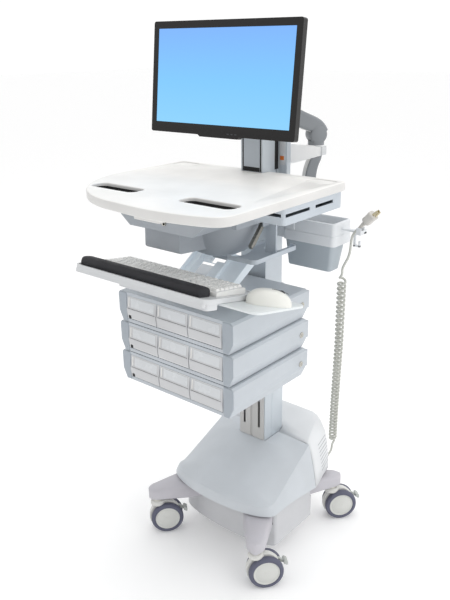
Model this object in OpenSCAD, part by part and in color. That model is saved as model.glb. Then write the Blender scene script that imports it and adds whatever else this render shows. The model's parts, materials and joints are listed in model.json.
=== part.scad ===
// Powered medication cart: lift column, nine drawers, worksurface, keyboard tray, display.
// The cart frame used below has X to the user's right, Y to the back and Z up from the floor,
// with the middle of the four caster stems at X = Y = 0. placed() moves it to the part's origin.

/* [Base and casters] */
// Distance from the middle of the base to each caster stem, across
stem_x = 196; // [180:1:215]
// Distance from the middle of the base to each caster stem, front to back
stem_y = 202; // [190:1:215]
// Diameter of a caster wheel
wheel_d = 102; // [98:1:106]
// Height of the underside of the four base arms
arm_under_z = 121; // [120:1:124]
// Direction in which the casters trail, counted from +X towards +Y
caster_heading = 49; // [0:1:359]
// Half width of the base covers at their lower edge
cover_half_w = 196; // [185:1:205]

/* [Lift column] */
// Height of the top of the fixed column
fixed_top_z = 800; // [780:5:805]
// Outer half width of the fixed column
fixed_half_w = 50; // [50:1:52]
// Outer half width of the moving column
moving_half_w = 44; // [42:0.5:44]

/* [Drawers] */
// Half width of a drawer cabinet
cabinet_half_w = 201; // [196:1:206]
// Depth of a drawer cabinet
cabinet_depth = 318; // [300:1:320]
// Height of the underside of the lowest cabinet
cabinet_z = 581.5; // [575:0.5:585]
// Height from one cabinet to the next
cabinet_pitch = 87.6; // [86:0.2:88]

/* [Worksurface] */
// Height of the top of the worksurface
surface_z = 1137; // [1130:1:1160]
// Thickness of the worksurface
surface_t = 23; // [20:1:23]
// Half width of the worksurface
surface_half_w = 288; // [280:1:295]
// Depth of the worksurface, from the rear edge to the foremost point of the bow
surface_depth = 526; // [510:1:530]

/* [Display] */
// Width of the display
display_w = 457; // [420:1:480]
// Height of the display
display_h = 278; // [260:1:285]
// Backward lean of the display at rest
display_lean = 6.5; // [0:0.5:10]
// Turn of the display at rest
display_turn = 2.5; // [0:0.5:4]

/* [Keyboard] */
// Width of the keyboard tray
tray_w = 458; // [450:1:470]
// Slope of the keyboard tray, front edge up
tray_slope = 11.3; // [8:0.1:12]

/* [Hidden] */

// Middle of the footprint, which becomes the part's origin
mid_x = 15;
mid_y = -93;

// Heights of the base
skirt_z = 46;
skirt_top_z = 170;
cover_front_z = 178;
cover_rear_z = 160;
plate_under_z = 118;
arm_top_z = 176;
column_foot_z = 160;
plate_lo = [-150, -105];
plate_hi = [150, 120];
relief_z = 100;

// Fixed and moving column sections
fixed_front_y = 34;
fixed_back_y = 124;
moving_front_y = 38;
moving_back_y = 118;
moving_foot_z = 430;
riser_top_z = 1238;
riser_half_w = 37;
riser_front_y = 31;
riser_back_y = 105;
tab_x = 28;
spring_y = 80;
accessory_pitch = 75;
accessory_z = 1186;
accessory_hole_r = 2.15;

// Casters
wheel_r = wheel_d / 2;
wheel_gap = 9;
trail = 27;
stem_r = 6;
pin_fit = 0.06;
pedal_t = 66;
pedal_z = 76;
pedal_reach = 92;

// Cabinets and drawers
cabinet_front_y = -300;
cabinet_h = cabinet_pitch - 2.2;
drawer_pitch = 112;
drawer_w = 109;
drawer_h = 66;
drawer_depth = 290;

// Under the worksurface
under_z = surface_z - surface_t;
surface_rear_y = 60;
surface_front_y = surface_rear_y - surface_depth;
surface_left_r = 280;
surface_right_r = 51;
bow_x = 100;
bow_left = 1700;
bow_right = 925;
hand_slot_x = [-136, 168];
hand_slot_y = -338;
housing_z = 1044;
housing_front_y = -330;
tech_z = 1070;

// Keyboard tray: its plane passes through the front edge and slopes down to the back
tray_front_y = -415;
tray_front_z = 940;
tray_len = 200;
arm_pivot_y = -95;
arm_pivot_z = 929;
mouse_z = -13;
tilt_y = -197;
tilt_z = 867;
saddle_x = [-41, 14];
mouse_at = [278, 170];

// Display and its arm
display_y = -95;
display_z = 1385;
post_x = 128;
post_y = 150;
elbow_z = 1234;
arm_turn = 33;
arm_reach = 200;
yoke_x = post_x - arm_reach * sin(arm_turn);
yoke_y = post_y - arm_reach * cos(arm_turn);
yoke_z = 1378;

// Power cord: route of the stretch from the base to the coil, and from the coil to the plug
cord_d = 6.6;
coil_d = 27;
gland = [160, 205, 196];
tail_route = [[160, 211, 196], [160, 219, 196], [160, 226, 197], [160, 232, 200], [161, 237, 204],
              [162, 243, 210], [164, 245, 220], [165, 245, 232]];
coil_route = [[165, 245, 232], [166, 245, 244], [170, 238, 280], [179, 224, 370], [190, 208, 460],
              [202, 191, 550], [215, 172, 640], [228, 150, 730], [244, 123, 820],
               [254, 106, 866], [257, 101, 878]];
lead_route = [[257, 101, 878], [260, 96, 890], [265, 93, 901], [272, 91, 914], [278, 91, 926],
              [283, 90, 942], [285, 90, 958], [286, 90, 974], [289, 90, 988], [294, 90, 998],
              [300.1, 90.4, 1005.8], [307, 91, 1013]];
plug_turn = [0, 44, 5];

module placed() { translate([-mid_x, -mid_y, 0]) children(); }

// ---- shared shapes -------------------------------------------------------

module rounded_rect(w, d, r) {
  square([w - 2 * r, d], center = true);
  square([w, d - 2 * r], center = true);
  for (i = [-1, 1], j = [-1, 1])
    translate([i * (w / 2 - r), j * (d / 2 - r)]) circle(r = r, $fn = 32);
}

// Box between two corners
module span(lo, hi) { translate(lo) cube([hi[0] - lo[0], hi[1] - lo[1], hi[2] - lo[2]]); }

// Box between two corners with rounded upright edges
module rounded_span(lo, hi, r) {
  translate([(lo[0] + hi[0]) / 2, (lo[1] + hi[1]) / 2, lo[2]])
    linear_extrude(hi[2] - lo[2]) rounded_rect(hi[0] - lo[0], hi[1] - lo[1], r);
}

// Cylinder along X
module rod_x(x0, x1, y, z, r) {
  translate([x0, y, z]) rotate([0, 90, 0]) cylinder(h = x1 - x0, r = r, $fn = 48);
}

// Outline in the YZ plane, given as [y, z] points, made solid from x0 to x1
module profile_x(x0, x1, pts) {
  translate([x0, 0, 0]) rotate([90, 0, 90]) linear_extrude(x1 - x0) polygon(pts);
}

// Outline in the XZ plane, given as [x, z] points, made solid from y0 to y1
module profile_y(y0, y1, pts) {
  translate([0, y1, 0]) rotate([90, 0, 0]) linear_extrude(y1 - y0) polygon(pts);
}

function unit(v) = v / norm(v);
function tangent(p, i) = unit(p[min(i + 1, len(p) - 1)] - p[max(i - 1, 0)]);
function ring(c, t, r, n) =
  let (u = unit(cross(t, [1, 0.2, 0])), v = cross(t, u))
  [for (k = [0:n - 1]) c + r * (cos(360 * k / n) * u + sin(360 * k / n) * v)];

// Round tube swept along a route, closed at both ends; radii has one value per point
module tube(route, radii, n) {
  m = len(route);
  pts = [for (i = [0:m - 1]) each ring(route[i], tangent(route, i), radii[i], n)];
  skin = [for (i = [0:m - 2], k = [0:n - 1])
    [i * n + k, i * n + (k + 1) % n, (i + 1) * n + (k + 1) % n, (i + 1) * n + k]];
  polyhedron(points = pts, convexity = 4,
    faces = concat([[for (k = [0:n - 1]) n - 1 - k]], skin, [[for (k = [0:n - 1]) (m - 1) * n + k]]));
}

// ---- base ----------------------------------------------------------------

// An arm; grow widens it, for the room that other parts leave around it
module base_arm(sx, sy, grow) {
  hull() {
    translate([sx * 120, sy * 92, (arm_under_z + arm_top_z) / 2])
      cube([70 + 2 * grow, 70 + 2 * grow, arm_top_z - arm_under_z], center = true);
    translate([sx * stem_x, sy * stem_y, arm_under_z]) cylinder(h = 38, r = 27 + grow, $fn = 32);
  }
}

module base_frame() placed() color([0.74, 0.72, 0.77]) {
  difference() {
    union() {
      for (sx = [-1, 1], sy = [-1, 1]) base_arm(sx, sy, 0);
      rounded_span([plate_lo[0], plate_lo[1], plate_under_z], [plate_hi[0], plate_hi[1], column_foot_z], 12);
    }
    // The casting is hollow underneath
    rounded_span([plate_lo[0] + 8, plate_lo[1] + 8, plate_under_z - 1],
                 [plate_hi[0] - 8, plate_hi[1] - 8, column_foot_z - 10], 6);
    for (sx = [-1, 1], sy = [-1, 1])
      translate([sx * stem_x, sy * stem_y, arm_under_z - 1])
        cylinder(h = 26, r = stem_r + pin_fit, $fn = 48);
  }
}

module skirt_outline(grow) {
  polygon(concat(
    [[178 + grow, 108 + grow], [178 + grow, -77]],
    [for (i = [10:10:170]) [(178 + grow) * cos(i), -77 - (38 + grow) * sin(i)]],
    [[-178 - grow, -77], [-178 - grow, 108 + grow]]));
}

module base_skirt() placed() color([0.87, 0.87, 0.87]) {
  difference() {
    translate([0, 0, skirt_z]) linear_extrude(skirt_top_z - skirt_z) skirt_outline(0);
    translate([0, 0, skirt_z + 3]) linear_extrude(skirt_top_z - skirt_z) skirt_outline(-3);
    for (sx = [-1, 1], sy = [-1, 1]) translate([0, 0, -0.5]) base_arm(sx, sy, 1);
    span([plate_lo[0] - 1, plate_lo[1] - 1, plate_under_z - 1],
         [plate_hi[0] + 1, plate_hi[1] + 1, skirt_top_z + 1]);
  }
}

module battery_pack() placed() color([0.2, 0.2, 0.22]) {
  rounded_span([-120, -68, skirt_z + 3], [120, 96, plate_under_z], 6);
}

// Slices of the front cover, from the back seam to the front lip: [y, half width, shoulder z]
module cover_slice(y, w_low, z_low, w_high, z_high, t) {
  translate([0, y, 0]) rotate([90, 0, 0]) linear_extrude(t)
    polygon([[-w_low, z_low], [-w_high, z_high], [w_high, z_high], [w_low, z_low]]);
}

module front_cover_form(inset) {
  hull() {
    cover_slice(104, cover_half_w - inset, cover_rear_z, 165 - inset, 303 - inset, 2);
    cover_slice(104, cover_half_w - 4 - inset, 255, 168 - inset, 292 - inset, 2);
    cover_slice(34, cover_half_w - inset, 165, 60, 308 - inset, 2);
    for (i = [15:15:165])
      translate([0, 0, cover_front_z])
        translate([(cover_half_w - inset) * cos(i), -112 - (59 - inset) * sin(i), 0])
          cylinder(h = 26 - inset, r = 1, $fn = 12);
    translate([-cover_half_w + inset, -112, cover_front_z - 2])
      cube([2 * (cover_half_w - inset), 2, 30 - inset]);
  }
}

module front_cover() placed() color([0.78, 0.81, 0.84]) {
  difference() {
    front_cover_form(0);
    translate([0, 0, -4]) front_cover_form(3);
    span([-fixed_half_w - 1, 29, 100], [fixed_half_w + 1, 110, 400]);
    for (sx = [-1, 1]) corner_relief(sx, -1);
  }
}

// Room for an arm where it leaves the base under a cover
module corner_relief(sx, sy) {
  hull()
    for (p = [[110, 80], [stem_x, stem_y]])
      translate([sx * p[0], sy * p[1], relief_z]) cylinder(h = arm_top_z + 6 - relief_z, r = 38, $fn = 24);
}

module rear_cover_form(inset) {
  hull() {
    translate([0, 106 + 2, 0]) rotate([90, 0, 0]) linear_extrude(2)
      polygon([[-cover_half_w + inset, cover_rear_z], [-165 + inset, 303 - inset],
               [165 - inset, 303 - inset], [cover_half_w - inset, cover_rear_z]]);
    translate([0, 205 - inset, 0]) rotate([90, 0, 0]) linear_extrude(8)
      polygon([[-182 + inset, cover_rear_z], [-146 + inset, 338 - inset], [-118 + inset, 360 - inset],
               [118 - inset, 360 - inset], [146 - inset, 338 - inset], [182 - inset, cover_rear_z]]);
    translate([0, 150, 0]) rotate([90, 0, 0]) linear_extrude(8)
      polygon([[-198 + inset, cover_rear_z], [-158 + inset, 320 - inset],
               [158 - inset, 320 - inset], [198 - inset, cover_rear_z]]);
  }
}

module rear_cover() placed() color([0.88, 0.89, 0.9]) {
  mouth = 10;
  difference() {
    rear_cover_form(0);
    translate([0, 0, -4]) rear_cover_form(3);
    span([-fixed_half_w - 1, 100, 100], [fixed_half_w + 1, fixed_back_y + 1, 400]);
    for (sx = [-1, 1], k = [0:5])
      translate([sx * 185, 178, 190 + 14 * k]) cube([60, 34, 4], center = true);
    for (sx = [-1, 1]) corner_relief(sx, 1);
  }
  // Strain relief of the power cord
  translate([gland[0], gland[1] - 4, gland[2]]) rotate([-90, 0, 0]) difference() {
    cylinder(h = mouth + 4, r1 = 8, r2 = 6, $fn = 32);
    translate([0, 0, mouth]) cylinder(h = 5, r = cord_d / 2 + 0.02, $fn = 32);
  }
}

// ---- lift column -----------------------------------------------------------

module fixed_column() placed() color([0.77, 0.8, 0.84]) {
  wall = 3;
  translate([0, 0, column_foot_z]) linear_extrude(fixed_top_z - column_foot_z) difference() {
    translate([-fixed_half_w, fixed_front_y]) square([2 * fixed_half_w, fixed_back_y - fixed_front_y]);
    translate([-fixed_half_w + wall, fixed_front_y + 2])
      square([2 * (fixed_half_w - wall), fixed_back_y - fixed_front_y - 2 - wall]);
    translate([-38, fixed_front_y - 1]) square([76, 5]);
    for (sx = [-1, 1]) translate([sx * fixed_half_w - 1.2, 62]) square([2.4, 8]);
  }
}

module column_cover() placed() color([0.9, 0.89, 0.86]) {
  difference() {
    span([-46, 30, 306], [46, fixed_front_y, fixed_top_z]);
    for (x = [-tab_x, tab_x]) span([x - 4, 29, 345], [x + 4, 35, fixed_top_z + 1]);
    span([-4, 29, 305], [4, 33, fixed_top_z + 1]);
  }
}

module gas_spring_body() placed() color([0.15, 0.15, 0.16]) {
  translate([0, spring_y, column_foot_z]) difference() {
    cylinder(h = 480, r = 14, $fn = 48);
    translate([0, 0, 8]) cylinder(h = 464, r = 11, $fn = 48);
    translate([0, 0, 470]) cylinder(h = 20, r = 5 + pin_fit, $fn = 48);
  }
}

module gas_spring_rod() placed() color([0.8, 0.8, 0.82]) {
  translate([0, spring_y, 420]) cylinder(h = 20, r = 10.7, $fn = 48);
  translate([0, spring_y, 440]) cylinder(h = 620, r = 5, $fn = 32);
}

module moving_column() placed() color([0.84, 0.85, 0.87]) {
  wall = 2.5;
  // Telescoping tube
  translate([0, 0, moving_foot_z]) linear_extrude(under_z - moving_foot_z) difference() {
    translate([-moving_half_w, moving_front_y])
      square([2 * moving_half_w, moving_back_y - moving_front_y]);
    translate([-moving_half_w + wall, moving_front_y + wall])
      square([2 * (moving_half_w - wall), moving_back_y - moving_front_y - 2 * wall]);
  }
  // Glides that fill the gap to the fixed column
  for (s = [-1, 1]) span([s * 45.45 - 1.5, 60, moving_foot_z], [s * 45.45 + 1.5, 96, moving_foot_z + 60]);
  // Anchor plate of the gas spring rod
  span([-moving_half_w + 1, moving_front_y + 1, 1060], [moving_half_w - 1, moving_back_y - 1, 1068]);
  // Riser above the worksurface, with slots that run down its front and side
  difference() {
    riser();
    riser_holes();
  }
}

module riser() {
  translate([0, 0, under_z]) linear_extrude(riser_top_z - under_z) difference() {
    union() {
      translate([-riser_half_w, riser_front_y]) square([2 * riser_half_w, riser_back_y - riser_front_y]);
      translate([-riser_half_w - 28, riser_back_y - 1]) square([2 * riser_half_w + 56, 18]);
    }
    translate([-riser_half_w + 5, riser_front_y - 1]) square([4, 9]);
    translate([riser_half_w - 9, riser_front_y - 1]) square([4, 9]);
    translate([riser_half_w - 8, 92]) square([9, 5]);
    translate([-riser_half_w - 1, 92]) square([9, 5]);
    translate([-26, 44]) square([52, 50]);
  }
}

module riser_holes() {
  for (sx = [-1, 1], sz = [-1, 1])
    translate([sx * accessory_pitch / 2, riser_back_y + 18, accessory_z + sz * accessory_pitch / 2])
      rotate([90, 0, 0]) cylinder(h = 12, r = accessory_hole_r, $fn = 48);
}

// ---- casters ---------------------------------------------------------------

// A caster stands at its stem, its wheels trail along +X
module at_caster(sx, sy) placed()
  translate([sx * stem_x, sy * stem_y, 0]) rotate([0, 0, caster_heading]) children();

// Outline in the upright plane of the caster, made solid across the wheels from y0 to y1
module caster_slab(y0, y1) {
  translate([0, y1, 0]) rotate([90, 0, 0]) linear_extrude(y1 - y0) children();
}

module caster(sx, sy) at_caster(sx, sy) color([0.84, 0.84, 0.82]) {
  difference() {
    union() {
      caster_slab(-8.4, 8.4) difference() {
        union() {
          translate([trail, wheel_r]) circle(r = wheel_r - 2, $fn = 64);
          translate([-17, wheel_r + 12]) square([40, 103 - wheel_r - 12]);
        }
        translate([-60, -20]) square([200, wheel_r + 6]);
        translate([pedal_t - 8, 40]) square([60, 31]);
      }
      translate([0, 0, 103]) cylinder(h = arm_under_z - 1 - 103, r = 17, $fn = 48);
      caster_slab(-8.4, 8.4) translate([trail, wheel_r]) circle(r = 14, $fn = 48);
      caster_slab(-8.4, 8.4) translate([trail - 12, wheel_r - 14]) square([24, 26]);
    }
    caster_slab(-30, 30) translate([trail, wheel_r]) circle(r = 5 + pin_fit, $fn = 48);
    caster_slab(-4.6, 4.6) translate([pedal_t - 9, pedal_z - 9]) square([40, 18]);
    caster_slab(-4.6, 4.6) translate([pedal_t - 9, pedal_z - 30]) square([40, 30]);
  }
  translate([0, 0, arm_under_z - 2]) cylinder(h = 26, r = stem_r, $fn = 48);
  caster_slab(-6, 6) translate([pedal_t, pedal_z]) circle(r = 3, $fn = 32);
}

module wheels(sx, sy) at_caster(sx, sy) color([0.45, 0.46, 0.52])
  translate([trail, 0, wheel_r]) rotate([90, 0, 0]) {
    for (s = [-1, 1]) mirror([0, 0, s < 0 ? 1 : 0]) translate([0, 0, wheel_gap])
      rotate_extrude($fn = 96) polygon([[0, 0], [wheel_r - 4, 0], [wheel_r - 1, 2], [wheel_r, 6],
        [wheel_r, 12], [wheel_r - 2, 16], [wheel_r - 6, 18], [wheel_r - 12, 18], [wheel_r - 13, 16.5],
        [0, 17.5]]);
    cylinder(h = 2 * wheel_gap + 2, r = 5, center = true, $fn = 48);
  }

module brake_pedal(sx, sy) at_caster(sx, sy) color([0.75, 0.76, 0.76]) {
  difference() {
    union() {
      caster_slab(-4.2, 4.2) translate([pedal_t, pedal_z]) circle(r = 6.5, $fn = 48);
      caster_slab(-4.2, 4.2) polygon([[pedal_t, pedal_z + 5], [82, 74], [82, 66], [pedal_t, pedal_z - 5]]);
      caster_slab(-11, 11)
        polygon([[80, 77], [85, 77.5], [pedal_reach, 72], [pedal_reach, 62], [87, 62], [80, 67]]);
    }
    caster_slab(-20, 20) translate([pedal_t, pedal_z]) circle(r = 3 + pin_fit, $fn = 48);
  }
}

// ---- drawers ---------------------------------------------------------------

module drawer_carrier() placed() color([0.6, 0.62, 0.65]) {
  span([-120, 18, 590], [120, 24, 836]);
  for (x = [-tab_x, tab_x], z = [640, 760])
    span([x - 2.5, 23, z], [x + 2.5, moving_front_y, z + 30]);
}

function cabinet_base(row) = cabinet_z + (row - 1) * cabinet_pitch;

module cabinet(row) placed() color([0.73, 0.76, 0.79]) {
  z0 = cabinet_base(row);
  w = cabinet_half_w;
  h = cabinet_h;
  difference() {
    profile_y(cabinet_front_y, cabinet_front_y + cabinet_depth,
      [[-w + 14, z0], [-w, z0 + 30], [-w, z0 + h - 6], [-w + 6, z0 + h],
       [w - 6, z0 + h], [w, z0 + h - 6], [w, z0 + 30], [w - 14, z0]]);
    for (k = [-1, 0, 1])
      span([k * drawer_pitch - drawer_w / 2 - 0.5, cabinet_front_y - 1, z0 + 9.5],
           [k * drawer_pitch + drawer_w / 2 + 0.5, cabinet_front_y + cabinet_depth - 4,
            z0 + 10.5 + drawer_h]);
    translate([w - 12, -6, z0 + 46]) rotate([0, 90, 0]) cylinder(h = 20, r = 8 + pin_fit, $fn = 48);
  }
  for (s = [-1, 1]) span([s * (w - 7.5) - 7.4, cabinet_front_y + cabinet_depth, z0 + 31],
                         [s * (w - 7.5) + 7.4, 27, z0 + h - 6]);
}

module drawer(row, col) placed() color([0.85, 0.85, 0.87]) {
  z0 = cabinet_base(row) + 10;
  x0 = (col - 2) * drawer_pitch;
  y0 = cabinet_front_y;
  wall = 2;
  // Open tray
  difference() {
    span([x0 - drawer_w / 2 + 1.5, y0 + 4, z0 + 1], [x0 + drawer_w / 2 - 1.5, y0 + drawer_depth, z0 + 54]);
    span([x0 - drawer_w / 2 + 1.5 + wall, y0 + 8, z0 + 1 + wall],
         [x0 + drawer_w / 2 - 1.5 - wall, y0 + drawer_depth - wall, z0 + 60]);
  }
  // Front: an upper label strip that leans back over a lower pull face
  profile_x(x0 - drawer_w / 2, x0 + drawer_w / 2,
    [[y0 + 5, z0], [y0 - 3, z0 + 3], [y0 - 6, z0 + 30], [y0 - 4, z0 + 33],
     [y0, z0 + drawer_h], [y0 + 5, z0 + drawer_h]]);
}

module side_lock(row) placed() color([0.78, 0.78, 0.78]) {
  z = cabinet_base(row) + 46;
  difference() {
    rod_x(cabinet_half_w - 11, cabinet_half_w + 2, -6, z, 8);
    span([cabinet_half_w + 1, -7, z - 4], [cabinet_half_w + 3, -5, z + 4]);
  }
}

// ---- worksurface and what hangs under it -------------------------------------

// Front edge between its rounded corners: a shallow bow, foremost at bow_x
function bow_point(x) =
  [x, surface_front_y + pow(x - bow_x, 2) / (x < bow_x ? bow_left : bow_right)];

// Point of the front corner on the left (side = -1) or on the right (side = 1)
function corner_point(side, r, tip_y, a) =
  [side * (surface_half_w - r) + r * cos(a), tip_y + r * (1 + sin(a))];

module surface_outline() {
  r = 16;
  polygon(concat(
    [for (a = [0:15:90]) [surface_half_w - 4 - r + r * cos(a), surface_rear_y - r + r * sin(a)]],
    [for (a = [90:15:180]) [-surface_half_w + 4 + r + r * cos(a), surface_rear_y - r + r * sin(a)]],
    [for (a = [180:7.5:262.5]) corner_point(-1, surface_left_r, surface_front_y + 7, a)],
    [for (x = [25:25:250]) bow_point(x)],
    [for (a = [295:13:360]) corner_point(1, surface_right_r, surface_front_y + 23, a)]));
}

module worksurface() placed() color([0.93, 0.93, 0.91]) {
  difference() {
    union() {
      translate([0, 0, under_z]) linear_extrude(surface_t) surface_outline();
      // Thicker stretch of the front edge, beside the lock
      span([64, surface_front_y + 4, under_z - 7], [148, surface_front_y + 30, under_z + 1]);
    }
    for (x = hand_slot_x) translate([x, hand_slot_y, under_z - 1])
      linear_extrude(surface_t + 2) rounded_rect(158, 50, 18);
    span([-riser_half_w - 0.5, riser_front_y - 0.5, under_z - 1],
         [riser_half_w + 0.5, surface_rear_y + 1, surface_z + 1]);
    for (s = [-1, 1]) translate([s * 232, 18, surface_z - 2]) linear_extrude(3) rounded_rect(72, 50, 12);
  }
}

module head_housing() placed() color([0.72, 0.74, 0.77]) {
  difference() {
    union() {
      profile_y(housing_front_y, -197, [[-178, under_z], [-150, 1078], [-106, housing_z],
                                        [106, housing_z], [150, 1078], [178, under_z]]);
      span([-100, -198, housing_z], [100, 12, under_z]);
      span([-40, 10, 1072], [40, moving_front_y, under_z]);
      // Round cover over the keyboard arm's pivot
      translate([4, -110, 0]) rotate_extrude($fn = 64)
        polygon([[0, 945], [52, 945], [74, 956], [90, 980], [100, 1012], [104, 1046], [0, 1046]]);
      // Pivot block of the keyboard arm
      span([-28, arm_pivot_y - 11, arm_pivot_z - 9], [28, arm_pivot_y + 11, 946]);
      // Lever block
      span([117, -92, 1026], [133, -68, 1046]);
      span([117, -200, 1040], [133, -68, tech_z]);
      // Module with the lock electronics
      profile_x(-94, 26, [[-290, housing_z + 1], [-292, 985], [-286, 980], [-196, 972], [-190, 980],
                           [-190, housing_z + 1]]);
    }
    rod_x(-40, 40, arm_pivot_y, arm_pivot_z, 5 + pin_fit);
    rod_x(100, 150, -80, 1036, 3 + pin_fit);
    translate([17, housing_front_y - 1, 1066]) rotate([-90, 0, 0])
      cylinder(h = 16, r = 6 + pin_fit, $fn = 48);
    span([119.5, -92.5, 1020], [130.5, -67.5, 1043]);
    // Room for fingers under the hand slots
    for (x = hand_slot_x) translate([x, hand_slot_y, 1076])
      linear_extrude(under_z - 1075) rounded_rect(162, 54, 20);
  }
}

module front_lock() placed() color([0.85, 0.82, 0.72]) {
  translate([17, housing_front_y - 5, 1066]) rotate([-90, 0, 0]) difference() {
    cylinder(h = 19, r = 6, $fn = 48);
    translate([-0.8, -3.5, -1]) cube([1.6, 7, 4]);
  }
}

module lift_lever() placed() color([0.62, 0.62, 0.62]) {
  rod_x(119.8, 130.2, -80, 1036, 6);
  profile_x(120, 130, [[-83, 1040], [-75, 1033], [-122, 984], [-134, 976], [-138, 984]]);
  rod_x(117, 133, -80, 1036, 3);
}

module tech_box() placed() color([0.78, 0.81, 0.84]) {
  difference() {
    rounded_span([104, -196, tech_z], [272, 58, under_z], 10);
    rounded_span([107, -193, tech_z + 3], [269, 55, under_z - 3], 8);
    span([255, -190, 1089], [280, -90, 1097]);
    span([255, -66, 1089], [280, 14, 1097]);
    span([220, -200, 1089], [262, -180, 1097]);
  }
}

module storage_bin() placed() color([0.62, 0.65, 0.68]) {
  rim_z = 956;
  difference() {
    union() {
      hull() {
        rounded_span([100, 66, 884], [238, 118, 886], 10);
        rounded_span([92, 62, rim_z - 1], [246, 146, rim_z + 1], 10);
      }
      rounded_span([86, 60, rim_z], [252, 152, 1018], 12);
      // Strap that hangs the bin from the electronics box, and the block at its inner end
      span([104, 58, 985], [126, 61, 1105]);
      span([53, 70, 956], [90, 110, 1000]);
      // Arm beside the rim and the clip that holds the plug
      span([250, 98, 996], [318, 112, 1002]);
      span([304, 80, 996], [318, 112, 1007]);
      for (y = [80, 99]) span([304, y, 1006], [318, y + 3, 1015]);
    }
    hull() {
      rounded_span([103, 69, 888], [235, 115, 889], 8);
      rounded_span([97, 68, rim_z - 1], [241, 141, rim_z + 1], 8);
    }
    rounded_span([95, 67, rim_z], [243, 143, 1019], 8);
  }
  // Cord hook below the arm
  span([284, 104, 956], [290, 110, 998]);
  span([284, 104, 956], [304, 110, 962]);
  span([299, 104, 956], [304, 110, 974]);
}

module scanner_holder() placed() color([0.6, 0.66, 0.69]) {
  difference() {
    rounded_span([62, -164, 946], [162, 26, 958], 16);
    rounded_span([65, -161, 950], [159, 23, 960], 13);
    rounded_span([88, -40, 940], [136, 60, 960], 20);
    translate([4, -110, 940]) cylinder(h = 30, r = 84, $fn = 64);
  }
  span([116, -60, 948], [150, -54, tech_z]);
}

// ---- keyboard and mouse ------------------------------------------------------

module keyboard_arm() placed() color([0.62, 0.67, 0.71]) {
  plate = [[-86, 934], [-80, 926], [-100, 910], [-186, 862], [-202, 862], [-202, 869], [-188, 869],
           [-104, 918]];
  rib = [[-84, 938], [-76, 930], [-82, 916], [-186, 858], [-200, 860], [-204, 869], [-188, 878], [-104, 932]];
  difference() {
    union() {
      profile_x(-94, 98, plate);
      for (x = [-94, -64, 29, 94]) profile_x(x, x + 4, rib);
      for (s = [-1, 1]) rod_x(s * 31 - 2.2, s * 31 + 2.2, arm_pivot_y, arm_pivot_z, 11);
    }
    span([-60, -184, 850], [-6, -112, 960]);
    span([-28.8, arm_pivot_y - 17, 905], [28.8, -60, 960]);
    // Room for the saddles of the tray
    for (x = saddle_x) span([x - 12, -220, 850], [x + 12, -180, 900]);
  }
  rod_x(-33, 33, arm_pivot_y, arm_pivot_z, 5);
  rod_x(-62, 40, tilt_y, tilt_z, 4);
}

// The tray and what lies on it share a frame whose origin is the middle of the tray's front edge
module on_tray() placed() translate([-9, tray_front_y, tray_front_z]) rotate([-tray_slope, 0, 0]) children();

module keyboard_tray() color([0.93, 0.93, 0.93]) {
  on_tray() difference() {
    translate([0, tray_len / 2, -12]) linear_extrude(12) rounded_rect(tray_w, tray_len, 24);
    translate([0, tray_len / 2, -3]) linear_extrude(4) rounded_rect(tray_w - 10, tray_len - 10, 20);
  }
  // Thick front lip, and the pale box behind it that the mouse tray parks against
  on_tray() rounded_span([-tray_w / 2 + 8, 1, -20], [tray_w / 2 - 8, 15, -11], 6);
  on_tray() rounded_span([-70, 14, -28], [222, 56, -11], 8);
  // Saddles on the keyboard arm
  placed() for (x = saddle_x) difference() {
    profile_x(x - 11, x + 11, [[-232, 893], [-230, 866], [-206, 858], [-190, 858], [-186, 864],
                              [-186, 880], [-222, 892]]);
    rod_x(x - 20, x + 20, tilt_y, tilt_z, 4 + pin_fit);
  }
  // Channel that the tongue of the mouse tray slides in
  on_tray() difference() {
    span([-100, 162, mouse_z - 10], [111, 190, -11]);
    span([-101, 167.7, mouse_z - 6.3], [112, 184.3, mouse_z + 0.3]);
  }
}

module palm_rest() color([0.2, 0.2, 0.22]) on_tray()
  translate([-12, 0, -3]) profile_x(-208, 208,
    [[16, 0], [14, 5], [15, 17], [20, 22], [40, 23], [52, 21], [56, 15], [56, 0]]);

module keyboard() color([0.94, 0.94, 0.92]) on_tray() translate([5, 62, -3]) {
  profile_x(-202, 202, [[0, 0], [0, 11], [108, 16], [108, 0]]);
  for (row = [0:4], k = [0:14])
    translate([-190 + 25.5 * k, 6 + 20 * row, 10 + 0.9 * row]) cube([23, 17.5, 6]);
}

module mouse_tray() color([0.85, 0.87, 0.88]) on_tray() {
  rounded_span([131, 60, mouse_z - 6], [327, 262, mouse_z], 24);
  span([-60, 168, mouse_z - 6], [150, 184, mouse_z]);
}

module mouse() color([0.93, 0.93, 0.9]) on_tray()
  translate([mouse_at[0], mouse_at[1], mouse_z]) rotate([0, 0, -50]) intersection() {
    rotate([90, 0, 90]) translate([0, 0, -31]) linear_extrude(62)
      polygon([for (a = [0:10:180]) [55 * cos(a), 36 * pow(sin(a), 0.7) * (1 + 0.12 * cos(a))]]);
    linear_extrude(50) polygon([for (a = [0:15:345]) [31 * cos(a), 54 * sin(a)]]);
  }

// ---- display and its arm -------------------------------------------------------

module arm_link() placed() color([0.88, 0.88, 0.88]) difference() {
  union() {
    profile_y(123, 133, [[40, 1150], [40, 1206], [66, 1206], [160, 1204], [160, 1182], [74, 1154]]);
    translate([post_x, post_y, 1182]) cylinder(h = 24, r = 24, $fn = 48);
    span([post_x - 16, 128, 1182], [post_x + 34, post_y, 1206]);
  }
  translate([post_x, post_y, 1180]) cylinder(h = 30, r = 12 + pin_fit, $fn = 48);
}

// The arm above the post runs along -Y in a frame that is turned about the post
module on_arm() placed() translate([post_x, post_y, 0]) rotate([0, 0, -arm_turn]) children();

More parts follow.
